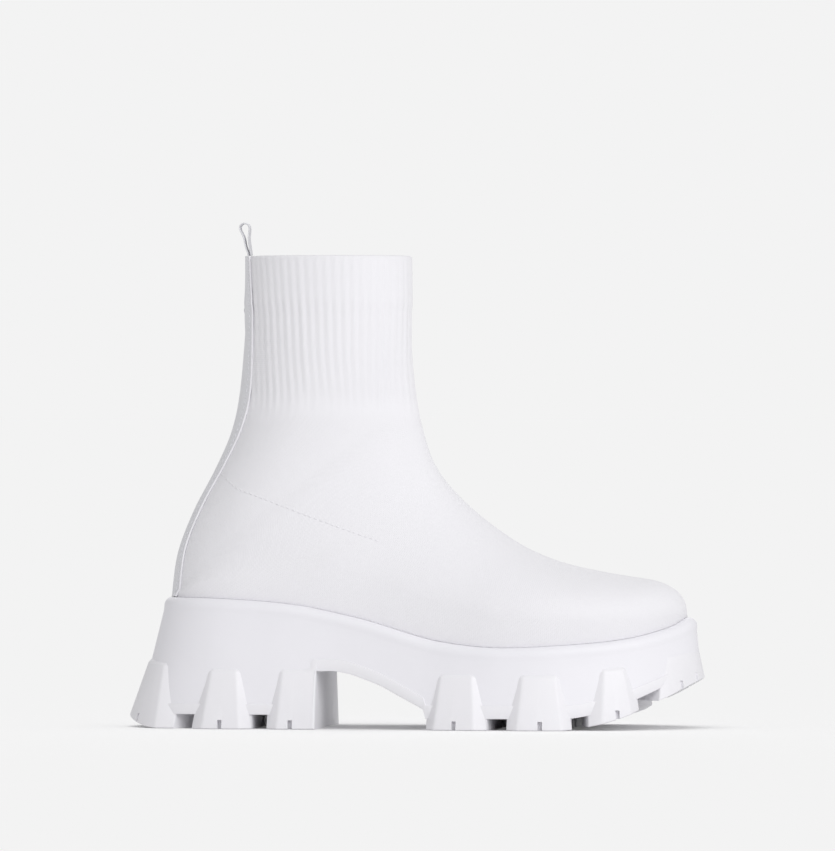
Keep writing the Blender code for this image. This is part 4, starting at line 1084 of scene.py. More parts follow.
class BOOT_OT_upper(bpy.types.Operator):
    """Builds the knitted upper, one wall from toe to collar with a ribbed cuff and a plain lining"""
    bl_idname = "sock_boot.upper"
    bl_label = "Knitted upper"

    def execute(self, context):
        sizes, colours = settings().upper, settings().colours
        spread, heel = spread_sections(UPPER_ROWS_BETWEEN)
        grid, spots = [], []
        for _at, row in spread:
            line, reach = section_line(row)
            grid.append(line)
            spots.append(reach)
        closed = [at >= heel for at, _row in spread]
        soften(grid, spots, spread, heel)
        normals = grid_normals(grid, closed)
        outer, ribs, knit = self.outer_face(sizes, spread, heel, grid, spots, normals)
        inner = [[point - normal * KNIT_WALL for point, normal in zip(*rows)]
                 for rows in zip(grid, normals)]
        rim = self.rim_rows(outer[-1], inner[-1])
        rows = outer[:-1] + rim + inner[:-1][::-1]
        count = UPPER_COLUMNS + 1
        points = [point for row in rows for point in row]
        faces = []
        for r in range(len(rows)):
            following = (r + 1) % len(rows)
            for k in range(count - 1):
                faces.append([r * count + k, r * count + k + 1,
                              following * count + k + 1, following * count + k])
        mesh = bpy.data.meshes.new("knit rows")
        mesh.from_pydata([tuple(point + PLACE) for point in points], [], faces)
        self.keep_places(mesh, points, len(outer), len(rim), ribs, knit)
        form = form_from(mesh)
        bmesh.ops.remove_doubles(form, verts=form.verts, dist=WELD)
        bmesh.ops.recalc_face_normals(form, faces=form.faces)
        finish_shading(form, math.radians(70))
        upper = object_of(form, "upper_knit", knit_material(sizes, colours))
        upper.data.materials.append(lining_material(colours))
        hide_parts("upper")
        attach(upper, BODY)
        return {"FINISHED"}

    def outer_face(self, sizes, spread, heel, grid, spots, normals):
        """The outer face with its ribs, and the place of each point in the rib and in the knit."""
        depth = grid[-1][UPPER_COLUMNS // 2].x - grid[-1][0].x
        half_breadth = max(point.y for point in grid[-1])
        shares = girth_shares(2 * half_breadth / depth)
        angles = [math.pi * k / (len(shares) - 1) for k in range(len(shares))]
        half_girth = spots[-1][0]
        hem = next(row["end_z"] for _at, row in spread if row["proud"])
        outer, ribs, knit = [], [], []
        columns = [0.0] * (UPPER_COLUMNS + 1)
        for r, (line, reach) in enumerate(zip(grid, spots)):
            outer_row, rib_row, knit_row = [], [], []
            for c, point in enumerate(line):
                if r:
                    columns[c] += (point - grid[r - 1][c]).length
                knit_row.append((reach[c] / MM, columns[c] / MM, 0.0))
                relief, place = 0.0, (0.0, 0.0, 0.0)
                if point.z > sizes.rib_end - 30 * MM and spread[r][0] > heel - 4:
                    back, front = back_and_front(point.z, spread, heel)
                    middle, reach_x = (back + front) / 2, (front - back) / 2
                    angle = math.atan2(abs(point.y) / half_breadth, (point.x - middle) / reach_x)
                    share = curve_value(angles, shares, angle)
                    girth = share * half_girth * (2 * reach_x / depth + 1) / 2
                    relief, place = self.rib(sizes, point, share, girth, hem)
                outer_row.append(point + normals[r][c] * relief)
                rib_row.append(place)
            outer.append(outer_row)
            ribs.append(rib_row)
            knit.append(knit_row)
        return outer, ribs, knit

    def rib(self, sizes, point, share, girth, hem):
        """How far the ribs lift a point of the cuff, and its place among their stitches. Each rib has
        its own strength and lower end."""
        girth += math.tan(sizes.rib_lean) * share**2 * (COLLAR_HEIGHT - point.z)
        phase = girth / sizes.rib_pitch
        uneven = random.Random(round(phase) + RIB_SIDES * (point.y > 0))
        strength = uneven.uniform(*RIB_STRENGTHS) * (0.5 + 0.5 * share)
        wander = uneven.uniform(-1.0, 1.0) * RIB_WANDER
        mask = smooth_step(sizes.rib_end - 7 * MM, sizes.rib_end + 9 * MM, point.z + wander)
        ribbed = smooth_step(sizes.rib_end - 12 * MM, sizes.rib_end + 4 * MM, point.z)
        in_hem = smooth_step(hem - 1.0 * MM, hem + 1.5 * MM, point.z)
        at_top = 1 - 0.5 * smooth_step(COLLAR_HEIGHT - 3 * MM, COLLAR_HEIGHT, point.z)
        height = sizes.rib_relief + (sizes.hem_relief - sizes.rib_relief) * in_hem
        crest = (0.5 + 0.5 * math.cos(2 * math.pi * phase)) ** RIB_SHARPNESS
        relief = at_top * height * (mask * strength * crest - RIB_SINK * ribbed)
        return relief, (girth / MM, point.z / MM, ribbed)

    def seam_place(self, point):
        """How far below the counter's seam a point lies, in millimetres, and how firm the seam is."""
        knots, heights = [list(column) for column in zip(*COUNTER_SEAM)]
        along = point.x / LAST_LENGTH
        line = curve_value(knots, heights, along)
        if along < knots[0]:
            line += (knots[0] - along) * LAST_LENGTH * 0.5
        firm = 1 - smooth_step(0.30, knots[-1] + 0.02, along)
        return (line - point.z) / MM, firm, 0.0

    def rim_rows(self, outside, inside):
        """The collar's rounded fold, from the outer face over to the inner."""
        rows = []
        radius = KNIT_WALL / 2 + CUFF_STEP / 4
        for step in range(RIM_STEPS + 1):
            bend = math.pi * step / RIM_STEPS
            row = []
            for first, second in zip(outside, inside):
                middle = (first + second) / 2
                reach = (first - second) / 2
                row.append(middle + reach * math.cos(bend)
                           + Vector((0.0, 0.0, radius * (math.sin(bend) - 1))))
            rows.append(row)
        return rows

    def keep_places(self, mesh, points, outside, folds, ribs, knit):
        """The places that the materials read, and which faces have the lining."""
        top_knit = [(u, v + 2.0, w) for u, v, w in knit[-1]]
        no_ribs = [[(0.0, 0.0, 0.0)] * len(ribs[0])] * (outside - 1)
        knit_rows = knit[:-1] + [top_knit] * folds + knit[:-1][::-1]
        rib_rows = ribs[:-1] + [ribs[-1]] * folds + no_ribs
        set_place(mesh, "knit_place", [value for row in knit_rows for value in row])
        set_place(mesh, "rib_place", [value for row in rib_rows for value in row])
        set_place(mesh, "seam_place", [self.seam_place(point) for point in points])
        first = (outside + folds - 2) * UPPER_COLUMNS
        last = len(mesh.polygons) - UPPER_COLUMNS
        mesh.polygons.foreach_set("material_index",
                                  [int(first <= k < last) for k in range(len(mesh.polygons))])


def soften(grid, spots, spread, heel):
    """Eases the rows either side of the heel into each other, away from the back and the ridge."""
    near = [r for r, (at, _row) in enumerate(spread) if abs(at - heel) < 3.5]
    for _ in range(60):
        before = {r: list(grid[r]) for r in range(near[0] - 1, near[-1] + 2)}
        for r in near:
            half = spots[r][0]
            ease = 1 - smooth_step(2.0, 3.5, abs(spread[r][0] - heel))
            for c, spot in enumerate(spots[r]):
                far = half - abs(spot)
                weight = smooth_step(12 * MM, 40 * MM, far) * ease
                mean = (before[r - 1][c] + before[r + 1][c]) / 2
                grid[r][c] = before[r][c].lerp(mean, weight * 0.5)


def grid_normals(grid, closed):
    """Outward normals of a grid of points. The first row is a fold, and closed rows meet at the back."""
    normals = []
    last = len(grid[0]) - 1
    for r, line in enumerate(grid):
        below, above = grid[max(r - 1, 0)], grid[min(r + 1, len(grid) - 1)]
        row = []
        for c in range(last + 1):
            if closed[r]:
                first, second = line[(c - 1) % last], line[(c + 1) % last]
            else:
                first, second = line[max(c - 1, 0)], line[min(c + 1, last)]
            normal = (second - first).cross(above[c] - below[c])
            row.append(normal.normalized())
        normals.append(row)
    normals[0] = [(normals[1][c] + normals[1][last - c]).normalized() for c in range(last + 1)]
    middle = len(grid) // 2
    if normals[middle][last // 2].z < 0:
        normals = [[-normal for normal in row] for row in normals]
    return normals


class BOOT_OT_sole(bpy.types.Operator):
    """Builds the foam midsole with its rounded rim, and the rubber outsole with its lugs"""
    bl_idname = "sock_boot.sole"
    bl_label = "Moulded sole"

    def execute(self, context):
        sizes, colours = settings().sole, settings().colours
        foam = moulded_material("injection-moulded foam", list(colours.foam), 0.52, 1.5, sizes.grain)
        rubber = moulded_material("moulded thermoplastic rubber", list(colours.rubber), 0.46, 1.52,
                                  sizes.grain)
        midsole = mesh_piece("midsole_foam", *swept_faces(self.midsole_stations(sizes)), foam,
                             math.radians(40))
        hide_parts("midsole")
        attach(midsole, BODY)
        outsole = self.outsole(sizes, rubber)
        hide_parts("outsole")
        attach(outsole, BODY)
        return {"FINISHED"}

    def midsole_stations(self, sizes):
        """Rim, neck and wall. Its foot is sunk a little in the outsole, so that no gap shows."""
        front = turn_of(BLOCK_FRONT)
        turns = [math.pi * k / SOLE_STATIONS for k in range(SOLE_STATIONS + 1)]
        gap = turn_of(BLOCK_FRONT + STEP_GAP / LAST_LENGTH) - front
        turns = sorted([t for t in turns if abs(t - front) > 2 * gap] + [front, front + gap])
        waist_end = turn_of(FOREFOOT + WAIST_BLEND)
        stations = {LATERAL: [], MEDIAL: []}
        for turn in turns:
            along = along_of(turn)
            for side in (LATERAL, MEDIAL):
                top = feather_height(along) - CLEARANCE
                if turn <= front:
                    bottom = tread_lift(outline_at(turn, side, RIM_WIDTH).x) + TREAD_THICKNESS
                elif FOREFOOT <= along and turn < waist_end:
                    share = (turn - turn_of(FOREFOOT)) / (waist_end - turn_of(FOREFOOT))
                    low = tread_line(waist_end, side)
                    bottom = low + (arch_height(FOREFOOT) + ARCH_THICKNESS - low) * (1 - share)
                else:
                    bottom = tread_line(turn, side)
                bottom -= CLEARANCE
                rows = [(-MIDSOLE_CORE, top), (-KNIT_WALL * 1.5, top),
                        (-KNIT_WALL, top - sizes.welt_depth), (0.1 * MM, top - sizes.welt_depth)]
                top += CLEARANCE * 0.8
                corner = RIM_WIDTH - RIM_RADIUS
                for step in range(BEAD_STEPS + 1):
                    bend = QUARTER * (step / BEAD_STEPS * 1.12 - 0.12)
                    rows.append((corner + RIM_RADIUS * math.sin(bend),
                                 top - RIM_RADIUS + RIM_RADIUS * math.cos(bend)))
                neck = feather_height(along) - RIM_RADIUS - NECK_DROP
                for share in (0.35, 0.7, 1.0):
                    height = top - RIM_RADIUS + (neck - top + RIM_RADIUS) * share
                    soft = (wall_offset(turn, side, neck) - RIM_WIDTH) * smooth_step(0, 1, share)
                    rows.append((RIM_WIDTH + soft, height))
                for share in (0.25, 0.5, 0.75, 1.0):
                    height = neck + (bottom - neck) * share
                    rows.append((wall_offset(turn, side, height), height))
                rows.append((-MIDSOLE_CORE, bottom))
                stations[side].append(placed(side, [(turn, *row) for row in rows]))
        return stations

    def low_at(self, turn):
        """Height of the tread's lower face, from where the lugs' feet stand."""
        offset = RIM_WIDTH + LUG_STAND_FOOT
        if turn < 1.0:
            offset = max(offset, wall_offset(turn, LATERAL, 0.0) + LUG_STAND_FOOT * 0.8)
        return tread_lift(outline_at(turn, LATERAL, offset).x)

    def base_stations(self):
        """The tread between the lugs and the waist: a ledge over the channels' roof."""
        front, waist_end = turn_of(BREAST - STEP_GAP * 4 / LAST_LENGTH), turn_of(FOREFOOT)
        turns = [math.pi * k / SOLE_STATIONS for k in range(SOLE_STATIONS + 1)]
        gap = turn_of(BREAST) - front
        turns = [t for t in turns if abs(t - front) > 2 * gap and abs(t - waist_end) > gap]
        turns = sorted(turns + [front - gap / 2, front, waist_end])
        stations = {LATERAL: [], MEDIAL: []}
        for turn in turns:
            along = along_of(turn)
            for side in (LATERAL, MEDIAL):
                in_waist = front <= turn <= waist_end
                depth = CHANNEL_DEPTH * (FORE_CHANNEL if turn > waist_end else 1.0)
                low, line = self.low_at(turn) + depth, tread_line(turn, side)
                if in_waist:
                    low = arch_height(max(along, BREAST))
                    line = low + ARCH_THICKNESS
                wall = wall_offset(turn, side, line)
                edge = LEDGE * 0.45
                rows = [(-OUTSOLE_CORE, line + TUCK), (wall - TUCK, line + TUCK * 0.75),
                        (wall - TUCK / 2, line + edge), (wall + LEDGE - edge, line + edge * 0.3),
                        (wall + LEDGE - edge * 0.3, line - edge * 0.2), (wall + LEDGE, line - edge),
                        (wall + LEDGE, low + edge), (wall + LEDGE - edge * 0.3, low + edge * 0.3),
                        (wall + LEDGE - edge, low), (-OUTSOLE_CORE, low)]
                stations[side].append(placed(side, [(turn, *row) for row in rows]))
        return stations

    def lug_edges(self, start, end):
        """Turns of a lug's foot edges and of its face's corners at foot, top and root."""
        first, last = turn_of(start), turn_of(end)
        square = (start <= 0.0, end >= 1.0 or end >= BREAST > start)
        edges = {"first": first, "last": last, "square": square}
        for name, inset in (("foot", LUG_INSET_FOOT), ("top", LUG_INSET_TOP), ("root", LUG_INSET_ROOT)):
            edges[name] = (first if square[0] else shift_turn(first, inset),
                           last if square[1] else shift_turn(last, -inset))
        return edges

    def bar_stations(self, start, end, top, stand):
        """One lug with the tread bar under it, side to side, as in the CAD part."""
        edges = self.lug_edges(start, end)
        middle = self.low_at((edges["first"] + edges["last"]) / 2)
        wraps = start <= 0.0 or end >= 1.0

        def head_at(turn):
            return (self.low_at(turn) + 2 * middle) / 3 + LUG_HEIGHT * top

        def inside(turn, side, line, head):
            wall = wall_offset(turn, side, line)
            if line > head:
                return [(turn, -OUTSOLE_CORE, line + TUCK), (turn, wall + LEDGE, line - LEDGE * 0.5)]
            return [(turn, -OUTSOLE_CORE, line + TUCK), (turn, wall - TUCK, line + TUCK * 1.25)]

        def face_station(turn_top, turn_foot, side):
            head, low = head_at(turn_top), self.low_at(turn_foot)
            line = tread_line(turn_foot, side)
            wall_head = wall_offset(turn_top, side, head)
            wall_foot = wall_offset(turn_foot, side, low)
            root = wall_head + (LEDGE if line > head else -ROOT_DEPTH)
            return inside(turn_foot, side, line, head) + [
                (turn_top, root, head + LUG_BEVEL * 0.6),
                (turn_top, wall_head + LUG_STAND_TOP * stand**2, head - LUG_BEVEL * 0.4),
                (turn_foot, wall_foot + LUG_STAND_FOOT * stand, low),
                (turn_foot, -OUTSOLE_CORE, low),
            ]

        def shoulder(turn_top, turn_foot, side):
            head, low = head_at(turn_foot), self.low_at(turn_foot)
            line = tread_line(turn_foot, side)
            wall_head = wall_offset(turn_top, side, head)
            wall_foot = wall_offset(turn_foot, side, low)
            return inside(turn_foot, side, line, head) + [
                (turn_top, wall_head - TUCK / 2, head),
                (turn_top, wall_head - TUCK / 4, head - LUG_BEVEL * 0.4),
                (turn_foot, wall_foot + LEDGE, low),
                (turn_foot, -OUTSOLE_CORE, low),
            ]

        count = 8
        shares = [k / count for k in range(count + 1)]
        upright = 2.0
        if edges["square"][1] and not wraps:
            span = edges["foot"][1] - edges["foot"][0]
            ramp = [(turn_of(STEP_UP + distance / LAST_LENGTH) - edges["foot"][0]) / span
                    for distance in (-STEP_RAMP, STEP_GAP)]
            upright = ramp[0]
            shares = [upright * k / count for k in range(count)] + ramp + [1.0]
        stations = {LATERAL: [], MEDIAL: []}
        for side in (LATERAL, MEDIAL):
            if not edges["square"][0]:
                stations[side].append(placed(side, shoulder(edges["root"][0], edges["first"], side)))
            for share in shares:
                turn_top = edges["top"][0] + (edges["top"][1] - edges["top"][0]) * share
                turn_foot = edges["foot"][0] + (edges["foot"][1] - edges["foot"][0]) * share
                if upright <= 1.0:
                    lean = edges["top"][0] - edges["foot"][0]
                    turn_top = turn_foot + lean * max(0.0, 1 - share / upright)
                stations[side].append(placed(side, face_station(turn_top, turn_foot, side)))
            if not edges["square"][1]:
                stations[side].append(placed(side, shoulder(edges["root"][1], edges["last"], side)))
        return stations

    def bar(self, stations, cutter):
        """One bar with its sipes cut, as a form."""
        form = form_of(*swept_faces(stations))
        bmesh.ops.triangulate(form, faces=[face for face in form.faces if len(face.verts) > 4])
        whole = form.calc_volume()
        bar = object_of(form, "bar", None, bpy.context.scene.collection)
        cut = bar.modifiers.new("sipes", "BOOLEAN")
        cut.operation = "DIFFERENCE"
        cut.solver = "EXACT"
        cut.object = cutter
        graph = bpy.context.evaluated_depsgraph_get()
        form = form_from(bpy.data.meshes.new_from_object(bar.evaluated_get(graph)))
        bpy.data.objects.remove(bar)
        if form.calc_volume() < 0.8 * whole:
            raise RuntimeError("a lug lost its body where its sipes were cut")
        return form

    def round_edges(self, form, stations, width):
        """Rounds the edges of a bar's lugs: along their tops, their feet and their sides."""
        lines = []
        for side in (LATERAL, MEDIAL):
            rows = stations[side]
            for first, second in zip(rows, rows[1:]):
                lines += [(first[3], second[3]), (first[4], second[4])]
            lines += [(row[3], row[4]) for row in rows]

        def on_line(place):
            for first, second in lines:
                span = second - first
                share = (place - first).dot(span) / max(span.length_squared, 1e-12)
                if -0.01 < share < 1.01 and (first + span * share - place).length < WELD:
                    return True
            return False

        held = {vert: on_line(vert.co) for vert in form.verts}
        edges = [edge for edge in form.edges
                 if len(edge.link_faces) == 2 and edge.calc_face_angle(0.0) > math.radians(20)
                 and all(held[vert] for vert in edge.verts)]
        bmesh.ops.bevel(form, geom=edges, offset=width, segments=3, profile=0.5,
                        affect="EDGES", clamp_overlap=True)

    def cutter_boxes(self):
        """Sipes in the lugs' lower edges and the grooves along the middle, as boxes."""
        boxes = []
        for side in (LATERAL, MEDIAL):
            for _name, start, end, _top, stand, sipes in LUGS:
                for number in range(sipes):
                    share = (number + 1) / (sipes + 1)
                    turn = turn_of(start) * (1 - share) + turn_of(end) * share
                    wall = wall_offset(turn, side, 0.0) + LUG_STAND_FOOT * stand
                    plan = outline_at(turn, side, wall - SIPE_LENGTH / 2 + SIPE_OVERRUN)
                    boxes.append((Vector((plan.x, plan.y, self.low_at(turn))),
                                  Vector((SIPE_LENGTH, SIPE_WIDTH, SIPE_DEPTH * 2)),
                                  edge_normal(turn, side)))
        for start, end in GROOVES:
            ends = []
            for along in (start, end):
                turn = turn_of(along)
                ends.append(Vector((along * LAST_LENGTH,
                                    (breadth(turn, MEDIAL) - breadth(turn, LATERAL)) / 2)))
            middle = (ends[0] + ends[1]) / 2
            size = Vector(((ends[1] - ends[0]).length, GROOVE_WIDTH, GROOVE_DEPTH * 2))
            boxes.append((Vector((middle.x, middle.y, 0.0)), size, (ends[1] - ends[0]).normalized()))
        return boxes

    def cutter(self):
        """The boxes as one object."""
        form = bmesh.new()
        for centre, size, direction in self.cutter_boxes():
            made = bmesh.ops.create_cube(form, size=1.0)
            bmesh.ops.scale(form, vec=size, verts=made["verts"])
            quarter = math.atan2(direction.y, direction.x)
            for vert in made["verts"]:
                x, y = vert.co.x, vert.co.y
                vert.co.x = x * math.cos(quarter) - y * math.sin(quarter) + centre.x
                vert.co.y = x * math.sin(quarter) + y * math.cos(quarter) + centre.y
                vert.co.z += centre.z
        return object_of(form, "sipe_cutter", None, bpy.context.scene.collection)

    def outsole(self, sizes, material):
        """The base with the bars let into it."""
        cutter = self.cutter()
        whole = form_of(*swept_faces(self.base_stations()))
        for _name, start, end, top, stand, _sipes in LUGS:
            stations = self.bar_stations(start, end, top, stand)
            form = self.bar(stations, cutter)
            self.round_edges(form, stations, sizes.lug_round)
            bmesh.ops.recalc_face_normals(form, faces=form.faces)
            mesh = bpy.data.meshes.new("bar")
            form.to_mesh(mesh)
            form.free()
            whole.from_mesh(mesh)
            bpy.data.meshes.remove(mesh)
        bpy.data.objects.remove(cutter)
        bmesh.ops.translate(whole, verts=whole.verts, vec=PLACE)
        finish_shading(whole, math.radians(32))
        return object_of(whole, "outsole_rubber", material)


class BOOT_OT_footbed(bpy.types.Operator):
    """Builds the footbed that lies inside the upper"""
    bl_idname = "sock_boot.footbed"
    bl_label = "Footbed"

    def execute(self, context):
        material = footbed_material(settings().colours)
        footbed = mesh_piece("footbed_canvas", *swept_faces(footbed_stations(SOLE_STATIONS)), material,
                             math.radians(50))
        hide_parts("insole")
        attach(footbed, BODY)
        return {"FINISHED"}


def turn_at_breadth(half, side):
    """Where round the back of the heel the feather edge is this far from the middle."""
    low, high = 0.0, turn_of(0.1)
    for _ in range(30):
        turn = (low + high) / 2
        if breadth(turn, side) < half:
            low = turn
        else:
            high = turn
    return (low + high) / 2


def arc_bend(share, full):
    """Where on a lower arc the breadth is a share of the bulge."""
    low, high = 0.0, 1.0
    for _ in range(30):
        bend = (low + high) / 2
        weights = arc_weights(bend, full)
        if (weights[0] + weights[1]) / sum(weights) > share:
            low = bend
        else:
            high = bend
    return (low + high) / 2


def tape_grid():
    """Points of the tape's inner face, foot to collar, and their outward directions."""
    spread, heel = spread_sections(TAPE_ROWS_BETWEEN)
    knots, halves = [list(column) for column in zip(*TAPE)]
    parts = [2 * k / TAPE_COLUMNS - 1 for k in range(TAPE_COLUMNS + 1)]
    shaft = [entry for entry in spread if entry[0] >= heel]
    leg_end = COLLAR_HEIGHT - LOOP_LEG
    grid, outs = [], []
    for (at, row), (_next, above) in zip(shaft, shaft[1:] + shaft[-1:]):
        half = curve_value(knots, halves, at - heel) * TAPE_WIDTH
        over_loop = smooth_step(leg_end - 6 * MM, leg_end, above["end_z"])
        line, out_line = [], []
        for part in parts:
            side = LATERAL if part < 0 else MEDIAL
            bend = arc_bend(abs(part) * half / row["bulge"], row["full"])
            point, ahead = section_arc(row, side, (bend, max(bend - 0.01, 0.0)), True)
            slope = ahead - point
            out = Vector((-1.0, 0.0, 0.0))
            if abs(part) > 1e-6:
                out = Vector((-abs(slope.y), side * slope.x, 0.0)).normalized()
            gap = CLEARANCE + TAPE_EASE + over_loop * (LOOP_THICKNESS + CLEARANCE)
            gap *= 1 - smooth_step(0.62, 0.97, abs(part)) * (1 - TAPE_TUCK)
            line.append(point + out * (gap + row["proud"]))
            out_line.append(out)
        grid.append(line)
        outs.append(out_line)
    foot = []
    for place in grid[0]:
        side = LATERAL if place.y < 0 else MEDIAL
        turn = turn_at_breadth(abs(place.y), side)
        plan = outline_at(turn, side, CLEARANCE * 2)
        foot.append(Vector((plan.x, plan.y, feather_height(along_of(turn)) + CLEARANCE)))
    grid.insert(0, foot)
    outs.insert(0, outs[0])
    return grid, outs


def strip(name, grid, outs, thickness, material):
    """A closed strip of tape from its inner face, with rounded selvedges."""
    columns = len(grid[0])
    profile = [(k, 0.0) for k in range(columns)] + [(k, 1.0) for k in reversed(range(columns))]
    points, places = [], []
    run = 0.0
    for r, (line, out_line) in enumerate(zip(grid, outs)):
        run += (line[columns // 2] - grid[max(r - 1, 0)][columns // 2]).length
        across = reach_along(line)
        for k, face in profile:
            edge = min(k, columns - 1 - k)
            thin = {0: 0.35, 1: 0.85}.get(edge, 1.0)
            level = thickness * (0.5 + (face - 0.5) * thin)
            points.append(line[k] + out_line[k] * level)
            places.append(((across[k] - across[-1] / 2) / MM, run / MM, face))
    ring = len(profile)
    faces = ring_faces(len(grid), ring)
    for start in (0, (len(grid) - 1) * ring):
        for k in range(columns - 1):
            faces.append([start + k, start + k + 1, start + ring - 2 - k, start + ring - 1 - k])
    piece = mesh_piece(name, points, faces, material, math.radians(50), weld=None)
    set_place(piece.data, "weave_place", places)
    return piece


def cord(name, lines, radius, material):
    """Thin round cords along lines of points with their outward directions."""
    points, faces = [], []
    around = 8
    for line, outs in lines:
        first = len(points)
        for k, place in enumerate(line):
            tangent = tangent_at(line, k)
            across = tangent.cross(outs[k]).normalized()
            up = across.cross(tangent)
            for j in range(around):
                turn = 2 * math.pi * j / around
                points.append(place + (across * math.cos(turn) + up * math.sin(turn)) * radius)
        faces += ring_faces(len(line), around, first)
        for start in (first, first + (len(line) - 1) * around):
            faces.append([start + j for j in range(around)])
    return mesh_piece(name, points, faces, material, math.radians(60), weld=None)


class BOOT_OT_tapes(bpy.types.Operator):
    """Builds the woven back tape and the pull loop over the collar"""
    bl_idname = "sock_boot.tapes"
    bl_label = "Back tape and loop"

    def execute(self, context):
        material = tape_material(settings().colours)
        grid, outs = tape_grid()
        tape = strip("heel_tape_woven", grid, outs, TAPE_THICKNESS, material)
        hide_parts("heel_tape")
        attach(tape, BODY)
        loop = self.pull_loop(material)
        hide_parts("pull_loop")
        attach(loop, BODY)
        self.tape_stitches(grid, outs, material)
        edges = []
        for column, step in ((0, -1), (TAPE_COLUMNS, 1)):
            line = []
            for row, out in zip(grid, outs):
                away = (row[column] - row[column - step]).normalized()
                line.append(row[column] + out[column] * TAPE_THICKNESS * 0.45 + away * EDGE_RADIUS * 0.4)
            edges.append((line, [out[column] for out in outs]))
        edging = cord("tape_edging", edges, EDGE_RADIUS, sewing_thread())
        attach(edging, BODY)
        return {"FINISHED"}

    def loop_line(self):
        """Middle line of the folded loop, from its sewn-in foot over the top and back to the collar."""
        spread, heel = spread_sections(1)
        rows = [row for at, row in spread if at >= heel]
        foot = COLLAR_HEIGHT - LOOP_LEG
        out = CLEARANCE + LOOP_EASE + LOOP_THICKNESS / 2
        path = []
        for low, high in zip(rows, rows[1:]):
            if high["end_z"] <= foot:
                continue
            ends = [Vector((row["end_x"] - row["proud"] - out, row["end_z"])) for row in (low, high)]
            if not path:
                share = (foot - low["end_z"]) / (high["end_z"] - low["end_z"])
                path.append(ends[0].lerp(ends[1], share))
            path.append(ends[1])
        back = path[-1].x
        base, top = COLLAR_HEIGHT, COLLAR_HEIGHT + LOOP_HEIGHT
        radius = LOOP_OPENING / 2
        centre = Vector((back - LOOP_LEAN, top - radius - LOOP_THICKNESS / 2))
        path.append(Vector((back - LOOP_LEAN * 0.75, base + LOOP_HEIGHT * 0.28)))
        path.append(Vector((back - LOOP_LEAN * 1.25, base + LOOP_HEIGHT * 0.56)))
        for k in range(7):
            bend = math.radians(195 - 32 * k)
            path.append(centre + Vector((math.cos(bend), math.sin(bend))) * radius)
        path.append(Vector((back + LOOP_LEAN * 0.05, base + LOOP_HEIGHT * 0.52)))
        path.append(Vector((back + LOOP_LEAN * 0.30, base + LOOP_HEIGHT * 0.26)))
        path.append(Vector((back + LOOP_THICKNESS + CLEARANCE, base + CLEARANCE + LOOP_EASE)))
        return path

    def pull_loop(self, material):
        """The loop's strip of tape along its middle line."""
        path = self.loop_line()
        reach = reach_along(path)
        line = [Vector([curve_value(reach, [p[axis] for p in path], reach[-1] * k / LOOP_ROWS)
                        for axis in (0, 1)])
                for k in range(LOOP_ROWS + 1)]
        grid, outs = [], []
        columns = 10
        for k, place in enumerate(line):
            tangent = tangent_at(line, k)
            out = Vector((-tangent.y, 0.0, tangent.x))
            above = min(1.0, max(0.0, (place.y - COLLAR_HEIGHT) / LOOP_HEIGHT))
            row = []
            for j in range(columns + 1):
                y = (j / columns - 0.5) * LOOP_WIDTH
                bow = y**2 / (2 * BACK_RADIUS) * (1 - 0.7 * above)
                row.append(Vector((place.x + bow, y, place.y)) - out * LOOP_THICKNESS / 2)
            grid.append(row)
            outs.append([out] * (columns + 1))
        return strip("pull_loop_woven", grid, outs, LOOP_THICKNESS, material)

    def tape_stitches(self, grid, outs, material):
        """A run of stitches inside each selvedge, and the bar tack that holds the loop's leg."""
        sizes = settings().stitches
        runs = []
        for column in (1, TAPE_COLUMNS - 1):
            line = [row[column] + out[column] * TAPE_THICKNESS for row, out in zip(grid, outs)]
            runs += stitch_run(line, [out[column] for out in outs], sizes)
        tack = COLLAR_HEIGHT - LOOP_LEG - 3 * MM
        nearest = min(range(1, len(grid)), key=lambda r: abs(grid[r][0].z - tack))
        middle = TAPE_COLUMNS // 2
        for step in range(9):
            y = (step / 8 - 0.5) * LOOP_WIDTH * 0.8
            spot = grid[nearest][middle] + outs[nearest][middle] * TAPE_THICKNESS
            bow = y**2 / (2 * BACK_RADIUS)
            start = Vector((spot.x + bow, y - 0.5 * MM, spot.z - 1.3 * MM))
            end = Vector((spot.x + bow, y + 0.5 * MM, spot.z + 1.3 * MM))
            runs.append((start, end, outs[nearest][middle]))
        stitches = capsules("tape_stitches", runs, sizes.thread / 2, material, 0.05 * MM)
        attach(stitches, BODY)


